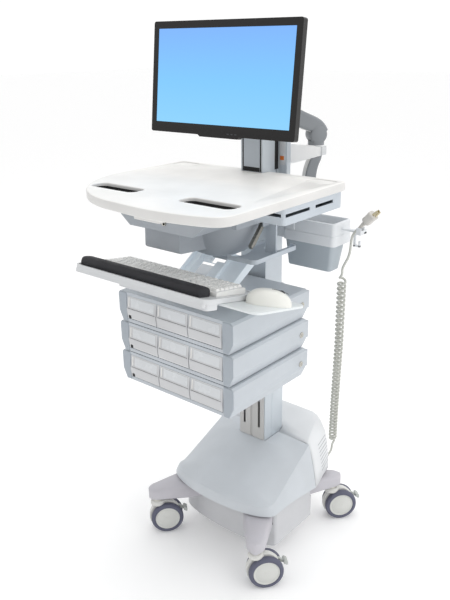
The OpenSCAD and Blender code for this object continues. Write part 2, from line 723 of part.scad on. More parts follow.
module arm_post() color([0.55, 0.56, 0.58]) on_arm() {
  translate([0, 0, 1110]) cylinder(h = 71.7, r = 16, $fn = 48);
  translate([0, 0, 1181]) cylinder(h = 26, r = 12, $fn = 48);
  translate([0, 0, 1206.3]) cylinder(h = 12, r = 22, $fn = 48);
  difference() {
    for (s = [-1, 1]) span([s * 16.5 - 4, -15, 1217], [s * 16.5 + 4, 15, elbow_z + 14]);
    rod_x(-30, 30, 0, elbow_z, 5 + pin_fit);
  }
}

module forearm() color([0.6, 0.61, 0.63]) on_arm() difference() {
  union() {
    rod_x(-11.6, 11.6, 0, elbow_z, 12);
    rod_x(-19, 19, 0, elbow_z, 5);
    hull() {
      rod_x(-11, 11, 0, elbow_z, 11);
      translate([0, -34, elbow_z + 52]) rotate([0, 90, 0]) cylinder(h = 26, r = 16, center = true, $fn = 32);
    }
    hull() {
      translate([0, -34, elbow_z + 52]) rotate([0, 90, 0]) cylinder(h = 26, r = 16, center = true, $fn = 32);
      translate([0, -140, yoke_z - 5]) rotate([0, 90, 0]) cylinder(h = 24, r = 12, center = true, $fn = 32);
    }
    hull() {
      translate([0, -140, yoke_z - 5]) rotate([0, 90, 0]) cylinder(h = 24, r = 12, center = true, $fn = 32);
      translate([0, -arm_reach, yoke_z - 15]) cylinder(h = 26, r = 12, $fn = 32);
    }
    translate([0, -arm_reach, yoke_z - 16]) cylinder(h = 32, r = 14, $fn = 48);
  }
  translate([0, -arm_reach, yoke_z - 20]) cylinder(h = 40, r = 6 + pin_fit, $fn = 48);
}

// The yoke and the ears of the display face the display, around the pin at the arm's end
module on_yoke() placed() translate([yoke_x, yoke_y, yoke_z]) rotate([0, 0, display_turn]) children();

module display_yoke() color([0.3, 0.3, 0.32]) on_yoke() {
  translate([0, 0, -22]) cylinder(h = 44, r = 6, $fn = 48);
  for (s = [-1, 1]) {
    translate([0, 0, s * 19.5]) cylinder(h = 6, r = 13, center = true, $fn = 48);
    span([-8, -26, s * 19.5 - 3], [8, 0, s * 19.5 + 3]);
  }
  span([-22, -30, -22], [22, -24, 22]);
  span([-14, -34, -6], [14, -26, 6]);
  rod_x(-34, 34, -34, 0, 5);
}

module display() color([0.1, 0.1, 0.1]) {
  placed() translate([0, display_y, display_z]) rotate([0, 0, display_turn]) rotate([-display_lean, 0, 0])
    difference() {
      union() {
        translate([0, 18, 0]) rotate([90, 0, 0]) linear_extrude(18) rounded_rect(display_w, display_h, 6);
        translate([0, 18, -display_h / 2]) rotate([90, 0, 0]) linear_extrude(18)
          polygon([[-72, 4], [-60, -5], [60, -5], [72, 4]]);
        translate([0, 34, 0]) rotate([90, 0, 0]) linear_extrude(17) rounded_rect(300, 180, 20);
      }
      translate([0, 1, 4]) rotate([90, 0, 0]) linear_extrude(3)
        square([display_w - 34, display_h - 44], center = true);
    }
  on_yoke() difference() {
    for (s = [-1, 1]) span([s * 29 - 4, -60, -10], [s * 29 + 4, -25, 10]);
    rod_x(-50, 50, -34, 0, 5 + pin_fit);
  }
}

// ---- power cord ----------------------------------------------------------------

module cord_tail() placed() color([0.74, 0.74, 0.7]) tube(tail_route, [for (p = tail_route) cord_d / 2], 8);

// The coil tapers to its ends, where the straight cord takes over
function coil_radius(i) = i == 0 || i == len(coil_route) - 1 ? 5 : coil_d / 2;

module cord_coil() placed() color([0.74, 0.74, 0.7])
  tube(coil_route, [for (i = [0:len(coil_route) - 1]) coil_radius(i)], 12);

module cord_lead() placed() color([0.74, 0.74, 0.7]) tube(lead_route, [for (p = lead_route) cord_d / 2], 8);

// Where the plug's strain relief starts, with +Z along the plug
module at_plug() translate(lead_route[len(lead_route) - 1]) rotate(plug_turn) children();

module cord_plug() placed() color([0.82, 0.81, 0.79]) at_plug() {
  cylinder(h = 24, r1 = 4, r2 = 7, $fn = 32);
  translate([0, 0, 23]) linear_extrude(32) rounded_rect(26, 30, 8);
  for (s = [-1, 1]) translate([-3, s * 6.4 - 0.8, 54]) cube([6, 1.6, 17]);
  translate([6, 0, 54]) cylinder(h = 19, r = 2.4, $fn = 24);
}

base_frame();
base_skirt();
front_cover();
rear_cover();
battery_pack();
fixed_column();
column_cover();
gas_spring_body();
caster(1, -1);  // caster_fr
caster(-1, -1);  // caster_fl
caster(1, 1);  // caster_rr
caster(-1, 1);  // caster_rl
wheels(1, -1);  // wheels_fr
wheels(-1, -1);  // wheels_fl
wheels(1, 1);  // wheels_rr
wheels(-1, 1);  // wheels_rl
brake_pedal(1, -1);  // brake_pedal_fr
brake_pedal(-1, -1);  // brake_pedal_fl
brake_pedal(1, 1);  // brake_pedal_rr
brake_pedal(-1, 1);  // brake_pedal_rl
moving_column();
gas_spring_rod();
worksurface();
head_housing();
tech_box();
drawer_carrier();
cabinet(1);  // cabinet_low
cabinet(2);  // cabinet_mid
cabinet(3);  // cabinet_top
drawer(1, 1);  // drawer_11
drawer(1, 2);  // drawer_12
drawer(1, 3);  // drawer_13
drawer(2, 1);  // drawer_21
drawer(2, 2);  // drawer_22
drawer(2, 3);  // drawer_23
drawer(3, 1);  // drawer_31
drawer(3, 2);  // drawer_32
drawer(3, 3);  // drawer_33
side_lock(1);  // side_lock_low
side_lock(2);  // side_lock_mid
side_lock(3);  // side_lock_top
front_lock();
storage_bin();
lift_lever();
scanner_holder();
keyboard_arm();
keyboard_tray();
palm_rest();
keyboard();
mouse_tray();
mouse();
arm_link();
arm_post();
forearm();
display_yoke();
display();
cord_tail();
cord_coil();
cord_lead();
cord_plug();
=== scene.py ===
"""Looks of the powered medication cart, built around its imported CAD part.

Lengths in this script are millimetres in the cart's own frame: X to the user's right, Y to the back,
Z up from the floor, with X = Y = 0 in the middle of the four caster stems. place() turns them into
the row frame in metres.
"""

import json
import math

import bmesh
import bpy
from mathutils import Matrix, Vector


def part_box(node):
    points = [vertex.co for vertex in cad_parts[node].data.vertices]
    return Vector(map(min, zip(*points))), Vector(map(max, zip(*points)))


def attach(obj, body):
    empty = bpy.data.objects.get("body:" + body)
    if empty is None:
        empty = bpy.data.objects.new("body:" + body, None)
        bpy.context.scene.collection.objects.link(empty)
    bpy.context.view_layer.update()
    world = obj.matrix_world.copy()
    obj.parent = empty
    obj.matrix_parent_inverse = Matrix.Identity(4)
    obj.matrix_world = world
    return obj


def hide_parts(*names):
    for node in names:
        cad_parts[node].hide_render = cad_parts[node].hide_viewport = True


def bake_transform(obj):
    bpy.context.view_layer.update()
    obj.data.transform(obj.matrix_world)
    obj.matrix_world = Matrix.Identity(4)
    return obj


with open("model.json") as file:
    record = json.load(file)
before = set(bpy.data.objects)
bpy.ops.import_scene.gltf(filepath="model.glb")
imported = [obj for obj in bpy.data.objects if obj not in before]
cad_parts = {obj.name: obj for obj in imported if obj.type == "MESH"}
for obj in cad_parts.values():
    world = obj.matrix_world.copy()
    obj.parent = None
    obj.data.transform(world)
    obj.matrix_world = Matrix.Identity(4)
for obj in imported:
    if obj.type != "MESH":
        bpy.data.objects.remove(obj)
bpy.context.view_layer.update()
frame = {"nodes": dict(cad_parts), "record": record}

# The column stands at X = 0 of the cart's frame, and its front face at COLUMN_FRONT_Y
COLUMN_FRONT_Y = 34
COLUMN_LOW, COLUMN_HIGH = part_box("fixed_column")
MID_X = -500 * (COLUMN_LOW.x + COLUMN_HIGH.x)
MID_Y = COLUMN_FRONT_Y - 1000 * COLUMN_LOW.y


def place(p):
    return Vector(((p[0] - MID_X) / 1000, (p[1] - MID_Y) / 1000, p[2] / 1000))


def unplace(v):
    return Vector((v.x * 1000 + MID_X, v.y * 1000 + MID_Y, v.z * 1000))


def new_object(name, data):
    """An object in the scene for some data."""
    obj = bpy.data.objects.new(name, data)
    bpy.context.scene.collection.objects.link(obj)
    return obj


# ---- camera ----

CAMERA_AT = (1185.9, -1492.4, 1476.5)
CAMERA_AZIMUTH = math.radians(40.22)
CAMERA_ELEVATION = math.radians(20.32)
CAMERA_ROLL = math.radians(-0.8)
CAMERA_LENS = 42.2
CAMERA_SENSOR = 36


def make_camera():
    data = bpy.data.cameras.new("camera")
    data.lens = CAMERA_LENS
    data.sensor_width = CAMERA_SENSOR
    data.clip_start = 0.05
    data.clip_end = 50
    cam = new_object("camera", data)
    a, e, r = CAMERA_AZIMUTH, CAMERA_ELEVATION, CAMERA_ROLL
    ahead = Vector((-math.sin(a) * math.cos(e), math.cos(a) * math.cos(e), -math.sin(e)))
    right = Vector((math.cos(a), math.sin(a), 0))
    up = right.cross(ahead)
    right, up = right * math.cos(r) + up * math.sin(r), up * math.cos(r) - right * math.sin(r)
    turn = Matrix((right, up, -ahead)).transposed().to_4x4()
    cam.matrix_world = Matrix.Translation(place(CAMERA_AT)) @ turn
    bpy.context.scene.camera = cam


# ---- materials ----

def linear(rgb):
    return tuple((c / 255 / 12.92 if c <= 10 else ((c / 255 + 0.055) / 1.055) ** 2.4) for c in rgb)


def node_tree(owner):
    """The nodes and links of a material or the world."""
    owner.use_nodes = True
    return owner.node_tree.nodes, owner.node_tree.links


def put(node, values):
    """Sets a shader node's inputs by their names."""
    for name, value in values.items():
        node.inputs[name].default_value = value
    return node


# Nearly all values of a noise texture lie between these two
NOISE_LOW, NOISE_HIGH = 0.3, 0.7


def noise(nodes, links, coords, scale, detail=3.0):
    n = put(nodes.new("ShaderNodeTexNoise"), {"Scale": scale, "Detail": detail})
    links.new(coords, n.inputs["Vector"])
    return n.outputs["Fac"]


def spread(nodes, links, value, low, high, start=NOISE_LOW, stop=NOISE_HIGH):
    """Turns start..stop into low..high."""
    n = put(nodes.new("ShaderNodeMapRange"),
            {"From Min": start, "From Max": stop, "To Min": low, "To Max": high})
    links.new(value, n.inputs["Value"])
    return n.outputs["Result"]


def generated(nodes, links, axis):
    """One axis of the generated coordinates: 0 to 1 over an object, the direction's part in the world."""
    split = nodes.new("ShaderNodeSeparateXYZ")
    links.new(nodes.new("ShaderNodeTexCoord").outputs["Generated"], split.inputs[0])
    return split.outputs[axis]


def surface(name, rgb, rough=0.45, metallic=0.0, vary=0.05, grain=1400, bump=0.12, coat=0.0,
            glow=0.0, brushed=None, specular=0.5):
    """A moulded, painted or cast surface: colour clouds, uneven roughness and a fine grain."""
    mat = bpy.data.materials.new(name)
    nodes, links = node_tree(mat)
    shader = nodes["Principled BSDF"]
    coords = nodes.new("ShaderNodeTexCoord").outputs["Object"]
    fine = coords
    if brushed:
        stretch = put(nodes.new("ShaderNodeMapping"), {"Scale": brushed})
        links.new(coords, stretch.inputs["Vector"])
        fine = stretch.outputs["Vector"]
    base = linear(rgb)
    ramp = nodes.new("ShaderNodeValToRGB")
    dark, pale = ramp.color_ramp.elements
    dark.position = NOISE_LOW
    pale.position = NOISE_HIGH
    dark.color = (*[c * (1 - vary) for c in base], 1)
    pale.color = (*[min(1, c * (1 + vary * 0.6)) for c in base], 1)
    links.new(noise(nodes, links, coords, 9), ramp.inputs["Fac"])
    links.new(ramp.outputs["Color"], shader.inputs["Base Color"])
    clouds = noise(nodes, links, coords, 34)
    links.new(spread(nodes, links, clouds, max(0.03, rough - 0.06), min(1, rough + 0.06)),
              shader.inputs["Roughness"])
    lift = put(nodes.new("ShaderNodeBump"), {"Strength": bump, "Distance": 0.0004})
    links.new(noise(nodes, links, fine, grain, 2.0), lift.inputs["Height"])
    links.new(lift.outputs["Normal"], shader.inputs["Normal"])
    put(shader, {"Metallic": metallic, "Coat Weight": coat, "Specular IOR Level": specular})
    # Emission in the surface's own colour: painted light where it lifts the keyboard arm and the arm link out
    # of shade; on the floor it keeps the floor evenly bright
    if glow:
        put(shader, {"Emission Color": (*base, 1), "Emission Strength": glow})
    return mat


WHITE = surface("moulded_white", (240, 239, 236), rough=0.42)
# A darker copy of the moulded white for upright faces: painted shade, as they get less light than the tops
WHITE_PAINTED_SHADE = surface("moulded_white_painted_shade", (224, 223, 221), rough=0.42)
COVER_BLUE = surface("cover_blue_grey", (202, 207, 212), rough=0.4)
COVER_WHITE = surface("cover_white", (228, 230, 232), rough=0.42)
CABINET = surface("cabinet_blue_grey", (192, 198, 204), rough=0.45)
CABINET_BEZEL = surface("cabinet_bezel", (168, 176, 184), rough=0.45)
DRAWER = surface("drawer_white", (206, 207, 209), rough=0.42)
LABEL = surface("label_strip", (216, 219, 222), rough=0.25, coat=0.3)
CAST = surface("cast_lavender", (194, 192, 198), rough=0.5, grain=900, bump=0.25, vary=0.07)
ANODISED = surface("anodised_extrusion", (205, 212, 218), rough=0.36, metallic=0.35, brushed=(60, 60, 1),
                   bump=0.08)
CREAM = surface("column_cream", (192, 191, 189), rough=0.5)
# Black, used for black parts and as painted shade in gaps, slots, holes and recesses
BLACK_AND_PAINTED_SHADE = surface("black_and_painted_shade", (16, 16, 18), rough=0.6)
LOUVRE_PAINTED_SHADE = surface("louvre_shade", (176, 178, 182), rough=0.6)
HOOD = surface("caster_hood", (218, 218, 214), rough=0.4)
TYRE = surface("caster_tyre", (92, 94, 112), rough=0.6, grain=700, bump=0.2)
DISC = surface("caster_disc", (212, 213, 209), rough=0.38)
PEDAL = surface("caster_pedal", (186, 190, 186), rough=0.42)
STEEL_DARK = surface("carrier_paint", (120, 124, 130), rough=0.5)
CHROME = surface("rod_chrome", (215, 216, 218), rough=0.12, metallic=1.0, bump=0.02)
BLACK_PAINT = surface("spring_enamel", (24, 24, 26), rough=0.35)
LOCK = surface("lock_cylinder", (198, 196, 188), rough=0.28, metallic=0.9, bump=0.05)
HOUSING = surface("housing_grey", (174, 180, 187), rough=0.48)
HOUSING_LIGHT = surface("housing_light", (196, 204, 212), rough=0.45)
BIN_BODY = surface("bin_grey", (170, 179, 186), rough=0.45)
BIN_RIM = surface("bin_rim_white", (226, 229, 232), rough=0.4)
# The keyboard arm's colour is lifted and glows: painted light on a part that sits in shade
BRACKET_PAINTED_LIGHT = surface("bracket_blue_grey_painted_light", (222, 230, 236), rough=0.45, coat=0.1, glow=0.18)
TRAY = surface("tray_white", (216, 218, 220), rough=0.4)
PALM = surface("palm_foam", (48, 48, 52), rough=0.75, grain=1800, bump=0.35)
KEYS = surface("key_caps", (244, 244, 242), rough=0.5)
KEY_DECK = surface("key_deck", (216, 219, 221), rough=0.5)
MOUSE_TRAY = surface("mouse_tray_pale", (228, 233, 234), rough=0.42, vary=0.02)
MOUSE = surface("mouse_white", (236, 236, 230), rough=0.35, coat=0.15)
BEZEL = surface("bezel_black", (20, 18, 18), rough=0.3, coat=0.15, bump=0.03, specular=0.35)
# The arm link glows: painted light on a face that sits in shade
ARM_WHITE_PAINTED_LIGHT = surface("arm_light", (240, 240, 240), rough=0.4, glow=0.27)
ARM_CAP = surface("arm_cap", (204, 206, 208), rough=0.42)
ARM_PALE = surface("arm_pale", (222, 222, 220), rough=0.42)
SKIRT = surface("skirt_white", (206, 207, 210), rough=0.42)
ARM_GREY = surface("arm_grey", (132, 136, 140), rough=0.42)
ARM_DARK = surface("arm_dark", (60, 62, 66), rough=0.45)
CORD = surface("cord_jacket", (196, 197, 190), rough=0.45, bump=0.05)
PLUG = surface("plug_moulded", (206, 203, 198), rough=0.45)
PRONG = surface("plug_prong", (210, 200, 170), rough=0.2, metallic=1.0)
LEVER = surface("lever_steel", (150, 148, 142), rough=0.3, metallic=0.8)
ORANGE = surface("orange_mark", (226, 120, 40), rough=0.5)


def screen_material():
    """A lit panel: blue that gets paler towards the bottom."""
    mat = bpy.data.materials.new("screen_lit")
    nodes, links = node_tree(mat)
    shader = nodes["Principled BSDF"]
    ramp = nodes.new("ShaderNodeValToRGB")
    stops = ((0.0, (140, 209, 253)), (0.45, (128, 200, 254)), (1.0, (126, 180, 250)))
    ramp.color_ramp.elements.new(stops[1][0])
    for element, (at, rgb) in zip(ramp.color_ramp.elements, stops):
        element.position = at
        element.color = (*linear(rgb), 1)
    links.new(generated(nodes, links, "Z"), ramp.inputs["Fac"])
    links.new(ramp.outputs["Color"], shader.inputs["Emission Color"])
    put(shader, {"Emission Strength": 1.0, "Base Color": (0.02, 0.03, 0.05, 1), "Roughness": 0.35,
                 "Specular IOR Level": 0.15})
    return mat


SCREEN = screen_material()


# ---- mesh tools ----

SIDES = ((-1, "left"), (1, "right"))


def add(name, verts, faces, mat, body, smooth=35.0):
    """A mesh object from points in cart millimetres, riding on a CAD body."""
    mesh = bpy.data.meshes.new(name)
    mesh.from_pydata([place(v) for v in verts], [], faces)
    mesh.validate()
    return finish_mesh(name, mesh, mat, body, smooth)


def finish_mesh(name, mesh, mat, body, smooth=35.0):
    b = bmesh.new()
    b.from_mesh(mesh)
    bmesh.ops.remove_doubles(b, verts=b.verts, dist=1e-6)
    bmesh.ops.recalc_face_normals(b, faces=b.faces)
    b.to_mesh(mesh)
    b.free()
    mesh.shade_smooth()
    mesh.set_sharp_from_angle(angle=math.radians(smooth))
    mesh.materials.clear()
    mesh.materials.append(mat)
    obj = new_object(name, mesh)
    if body:
        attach(obj, body)
    return obj


def evaluated_mesh(obj):
    """The object's mesh with its modifiers or its curve worked out."""
    bpy.context.view_layer.update()
    return bpy.data.meshes.new_from_object(obj.evaluated_get(bpy.context.evaluated_depsgraph_get()))


def bevel(obj, width, segments=3, angle=30.0):
    m = obj.modifiers.new("bevel", "BEVEL")
    m.width = width / 1000
    m.segments = segments
    m.limit_method = "ANGLE"
    m.angle_limit = math.radians(angle)
    m.harden_normals = True
    return obj


def body_of(node):
    return next(b for b, members in frame["record"]["behaviour"]["bodies"].items() if node in members)


def soften(node, mat, width=0.8, segments=2):
    """A copy of a CAD node with rounded edges, which stands for the node."""
    source = frame["nodes"][node]
    b = bmesh.new()
    b.from_mesh(source.data)
    bmesh.ops.remove_doubles(b, verts=b.verts, dist=2e-6)
    bmesh.ops.dissolve_limit(b, angle_limit=math.radians(0.6), verts=b.verts, edges=b.edges)
    mesh = bpy.data.meshes.new(node + "_look")
    b.to_mesh(mesh)
    b.free()
    obj = finish_mesh(node + "_look", mesh, mat, body_of(node), 30)
    bevel(obj, width, segments, 32)
    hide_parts(node)
    return obj


def solid_from(name, points, depth, to_cart, mat, body):
    """A flat outline (a, b) made solid over 0..depth, with to_cart(a, b, c) giving cart points."""
    n = len(points)
    verts = [to_cart(a, b, 0) for a, b in points] + [to_cart(a, b, depth) for a, b in points]
    faces = [tuple(range(n))[::-1], tuple(range(n, 2 * n))]
    faces += [(i, (i + 1) % n, n + (i + 1) % n, n + i) for i in range(n)]
    return add(name, verts, faces, mat, body)


def extrude(name, outline, z0, z1, mat, body):
    """An upright solid over an outline in the XY plane."""
    return solid_from(name, outline, z1 - z0, lambda x, y, h: (x, y, z0 + h), mat, body)


def block(name, low, high, mat, body, edge=0.8, segments=2, to_cart=None):
    """A box with rounded edges between two corners."""
    (x0, y0, z0), (x1, y1, z1) = low, high
    verts = [(x, y, z) for z in (z0, z1) for y in (y0, y1) for x in (x0, x1)]
    if to_cart:
        verts = [to_cart(*v) for v in verts]
    faces = [(0, 2, 3, 1), (4, 5, 7, 6), (0, 1, 5, 4), (2, 6, 7, 3), (0, 4, 6, 2), (1, 3, 7, 5)]
    return bevel(add(name, verts, faces, mat, body), edge, segments)


def rounded_rect(cx, cy, w, d, r, steps=8):
    pts = []
    for qx, qy, start in ((1, 1, 0), (-1, 1, 90), (-1, -1, 180), (1, -1, 270)):
        for k in range(steps + 1):
            a = math.radians(start + 90 * k / steps)
            pts.append((cx + qx * (w / 2 - r) + r * math.cos(a), cy + qy * (d / 2 - r) + r * math.sin(a)))
    return pts


def loft(name, rings, mat, body, caps=(True, True), smooth=35.0):
    """A skin through closed rings of equally many points; caps says if the first and last are filled."""
    n = len(rings[0])
    verts = [p for ring in rings for p in ring]
    faces = [(i * n + k, i * n + (k + 1) % n, (i + 1) * n + (k + 1) % n, (i + 1) * n + k)
             for i in range(len(rings) - 1) for k in range(n)]
    if caps[0]:
        faces.append(tuple(range(n))[::-1])
    if caps[1]:
        faces.append(tuple(range((len(rings) - 1) * n, len(rings) * n)))
    return add(name, verts, faces, mat, body, smooth)


def full_turn(steps):
    return [2 * math.pi * k / steps for k in range(steps)]


def tangent(path, i):
    return (path[min(i + 1, len(path) - 1)] - path[max(i - 1, 0)]).normalized()


def lathe(name, profile, to_cart, mat, body, steps):
    """A profile of (radius, height) turned about the local Z axis."""
    turns = full_turn(steps)
    rings = [[to_cart(r * math.cos(a), r * math.sin(a), h) for a in turns] for r, h in profile]
    return loft(name, rings, mat, body)


def tube(name, path, radius, mat, body, sides):
    """A round tube along a path, its rings carried along without twist."""
    turns = full_turn(sides)
    side = tangent(path, 0).orthogonal().normalized()
    rings = []
    for i, p in enumerate(path):
        t = tangent(path, i)
        side = (side - t * side.dot(t)).normalized()
        other = t.cross(side)
        rings.append([p + radius * (math.cos(a) * side + math.sin(a) * other) for a in turns])
    return loft(name, rings, mat, body, smooth=60.0)


def smooth_path(points, step=3.0):
    """A Catmull-Rom curve through the points, sampled about every step millimetres."""
    pts = [Vector(p) for p in points]
    pts = [2 * pts[0] - pts[1], *pts, 2 * pts[-1] - pts[-2]]
    out = []
    for i in range(1, len(pts) - 2):
        a, b, c, d = pts[i - 1:i + 3]
        n = max(1, round((c - b).length / step))
        for k in range(n):
            t = k / n
            out.append(0.5 * (2 * b + (c - a) * t + (2 * a - 5 * b + 4 * c - d) * t * t
                              + (3 * b - a - 3 * c + d) * t ** 3))
    return out + [pts[-2]]


def cut(obj, cutters):
    """Cuts the cutters out of obj and deletes them."""
    for c in cutters:
        m = obj.modifiers.new("cut", "BOOLEAN")
        m.object = c
        m.operation = "DIFFERENCE"
        m.solver = "EXACT"
    made = evaluated_mesh(obj)
    obj.modifiers.clear()
    obj.data = made
    for c in cutters:
        bpy.data.objects.remove(c)
    return obj


# ---- power cord ----

CORD_D = 6.6
COIL_D = 27
COIL_TURNS = 45
COIL_STEPS = 16
COIL_BUNCH = 0.18
CORD_EXIT = (160, 211, 196)
TAIL_ROUTE = [CORD_EXIT, (160, 219, 196), (160, 226, 197), (160, 232, 200), (161, 237, 204),
              (162, 243, 210), (164, 245, 220), (165, 245, 232)]
COIL_ROUTE = [(165, 245, 232), (166, 245, 244), (170, 238, 280), (179, 224, 370), (190, 208, 460),
              (202, 191, 550), (215, 172, 640), (228, 150, 730), (244, 123, 820), (254, 106, 866),
              (257, 101, 878)]
LEAD_ROUTE = [(257, 101, 878), (260, 96, 890), (265, 93, 901), (272, 91, 914), (278, 91, 926),
              (283, 90, 942), (285, 90, 958), (286, 90, 974), (289, 90, 988), (294, 90, 998),
              (300.1, 90.4, 1005.8), (307, 91, 1013)]


def coil_path():
    """The helix round the coil's middle line, closer at the bottom.

    It widens and starts to turn gently over low and high, the shares of the route at its two ends, so that
    the cord has no sharp bend where it leaves the coil.
    """
    low, high = 3 / COIL_TURNS, 2 / COIL_TURNS
    line = smooth_path(COIL_ROUTE, 2.0)
    lengths = [0.0]
    for a, b in zip(line, line[1:]):
        lengths.append(lengths[-1] + (b - a).length)
    total = lengths[-1]
    steps = COIL_TURNS * COIL_STEPS
    out = []
    side = Vector((1, 0, 0))
    for k in range(1, steps):
        u = k / steps
        s = total * ((1 - COIL_BUNCH) * u + COIL_BUNCH * u * u)
        i = min(len(line) - 2, next(j for j in range(len(lengths)) if lengths[j + 1] >= s))
        f = (s - lengths[i]) / (lengths[i + 1] - lengths[i])
        p = line[i].lerp(line[i + 1], f)
        t = (line[i + 1] - line[i]).normalized()
        side = (side - t * side.dot(t)).normalized()
        other = t.cross(side)
        near = min(1, u / low, (1 - u) / high)
        r = (COIL_D - CORD_D) / 2 * near * near * (3 - 2 * near)
        if u < low:
            turned = u ** 3 / (3 * low * low)
        elif u < 1 - high:
            turned = u - 2 * low / 3
        else:
            turned = 1 - 2 * (low + high) / 3 - (1 - u) ** 3 / (3 * high * high)
        a = 2 * math.pi * turned * COIL_TURNS
        out.append(p + r * (math.cos(a) * side + math.sin(a) * other))
    return out


def make_cord():
    path = smooth_path(TAIL_ROUTE)[:-1] + coil_path() + smooth_path(LEAD_ROUTE)[1:]
    obj = tube("power_cord", path, CORD_D / 2, CORD, None, 10)
    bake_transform(obj)
    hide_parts("cord_tail", "cord_coil", "cord_lead")
    make_plug()


PLUG_TILT = math.radians(44)
PLUG_TURN = math.radians(5)


def at_plug(x, y, z):
    turn = Matrix.Rotation(PLUG_TURN, 3, "Z") @ Matrix.Rotation(PLUG_TILT, 3, "Y")
    return Vector(LEAD_ROUTE[-1]) + turn @ Vector((x, y, z))


def make_plug():
    """Ribbed strain relief, a moulded grip with a slight waist, two blades and an earth pin."""
    relief = [(2.6, 0.0)]
    for k in range(6):
        z = 1.5 + 3.6 * k
        r = 4.0 + 0.5 * k
        relief += [(r - 0.9, z), (r, z + 0.5), (r, z + 2.2), (r - 0.9, z + 2.7)]
    relief += [(7.0, 23.5)]
    pieces = [lathe("plug_relief", relief, at_plug, PLUG, "lift", 24)]
    rings = []
    for z, w, d in ((23, 15, 17), (25, 21, 24), (29, 25, 29), (36, 24, 28), (44, 24.5, 28.5), (50, 26, 30),
                    (53.5, 26, 30), (55, 24, 28)):
        rings.append([at_plug(x, y, z) for x, y in rounded_rect(0, 0, w, d, min(w, d) * 0.32, 6)])
    pieces.append(loft("plug_grip", rings, PLUG, "lift", smooth=50))
    for s, side in ((-1, "a"), (1, "b")):
        pieces.append(block("plug_blade_" + side, (-3, s * 6.4 - 0.8, 54), (3, s * 6.4 + 0.8, 71), PRONG,
                            "lift", 0.5, 2, at_plug))
    pieces.append(lathe("plug_earth_pin", [(0.1, 54), (2.4, 54), (2.4, 71), (1.6, 72.8), (0.1, 73)],
                        lambda x, y, z: at_plug(x + 6, y, z), PRONG, "lift", 20))
    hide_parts("cord_plug")
    return pieces


make_camera()
make_cord()


# ---- base ----

STEM_X, STEM_Y = 196, 202
ARM_UNDER = 121
ARM_TIP_R = 27.5


def base_arm(name, sx, sy):
    """One cast arm: a rounded bar that runs from the hub out and down to the stem."""
    tip = Vector((sx * STEM_X, sy * STEM_Y, 0))
    hub = Vector((sx * 118, sy * 88, 0))
    out = (tip - hub).normalized()
    side = Vector((-out.y, out.x, 0))
    reach = (tip - hub).length
    low = ARM_UNDER
    stations = [(0, 46, 177), (reach * 0.35, 42, 176), (reach * 0.7, 34, 168), (reach, ARM_TIP_R, 160)]
    stations += [(reach + ARM_TIP_R * math.sin(a), ARM_TIP_R * math.cos(a), 160 - 3 * math.sin(a))
                 for a in (math.radians(d) for d in (20, 40, 58, 72, 82))]
    rings = []
    for along, half, high in stations:
        half = max(half, 3)
        c = min(7.0, half * 0.45)
        right = [(half - c, low), (half, low + c), (half, high - c * 1.4), (half - c * 0.6, high - c * 0.4),
                 (half - c * 1.6, high)]
        section = [(c - half, low)] + right + [(-a, z) for a, z in right[:0:-1]]
        rings.append([hub + out * along + side * a + Vector((0, 0, z)) for a, z in section])
    obj = loft(name, rings, CAST, "base", smooth=50)
    bevel(obj, 1.5, 2, 40)
    # Cap that closes the caster socket
    cap = lathe(name + "_cap", [(0.1, 119.5), (19, 119.5), (20, 120.5), (20, 123), (0.1, 123)],
                lambda x, y, z: (tip.x + x, tip.y + y, z), ARM_GREY, "base", 40)
    return obj


def crease_z(y):
    return max(300 - 0.497 * (99 - y), 207)


def ridge_z(y):
    return 306 if y >= 33 else 306 - 0.4776 * (33 - y)


SIDE_YS = (103, 90, 75, 60, 45, 33, 20, 5, -10, -30, -50, -70, -90, -105)
NOSE_STEPS = 14


def cover_rows():
    """Rows of (y, half width at the crease, half width, y and z at the lower edge)."""
    rows = []
    for y in SIDE_YS:
        f = (103 - y) / 208
        rows.append((y, 167 + 14 * f, 198 - 3 * f, y, 160 + 18 * min(1, f * 1.6)))
    for k in range(1, NOSE_STEPS + 1):
        a = math.radians(90 * k / NOSE_STEPS)
        rows.append((-105 - 61 * math.sin(a), 181 * max(math.cos(a), 0.0), 195 * max(math.cos(a), 0.0),
                     -105 - 66 * math.sin(a), 178 + 2 * math.sin(a)))
    return rows


FLAT_HALF = 52
COVER_WALL = 3
# The covers are open round the column between these depths
OPEN_FRONT, OPEN_REAR = 30, 126


def thicken(shell):
    """Gives a cover's skin its wall, inwards."""
    m = shell.modifiers.new("wall", "SOLIDIFY")
    m.thickness = COVER_WALL / 1000
    m.offset = -1


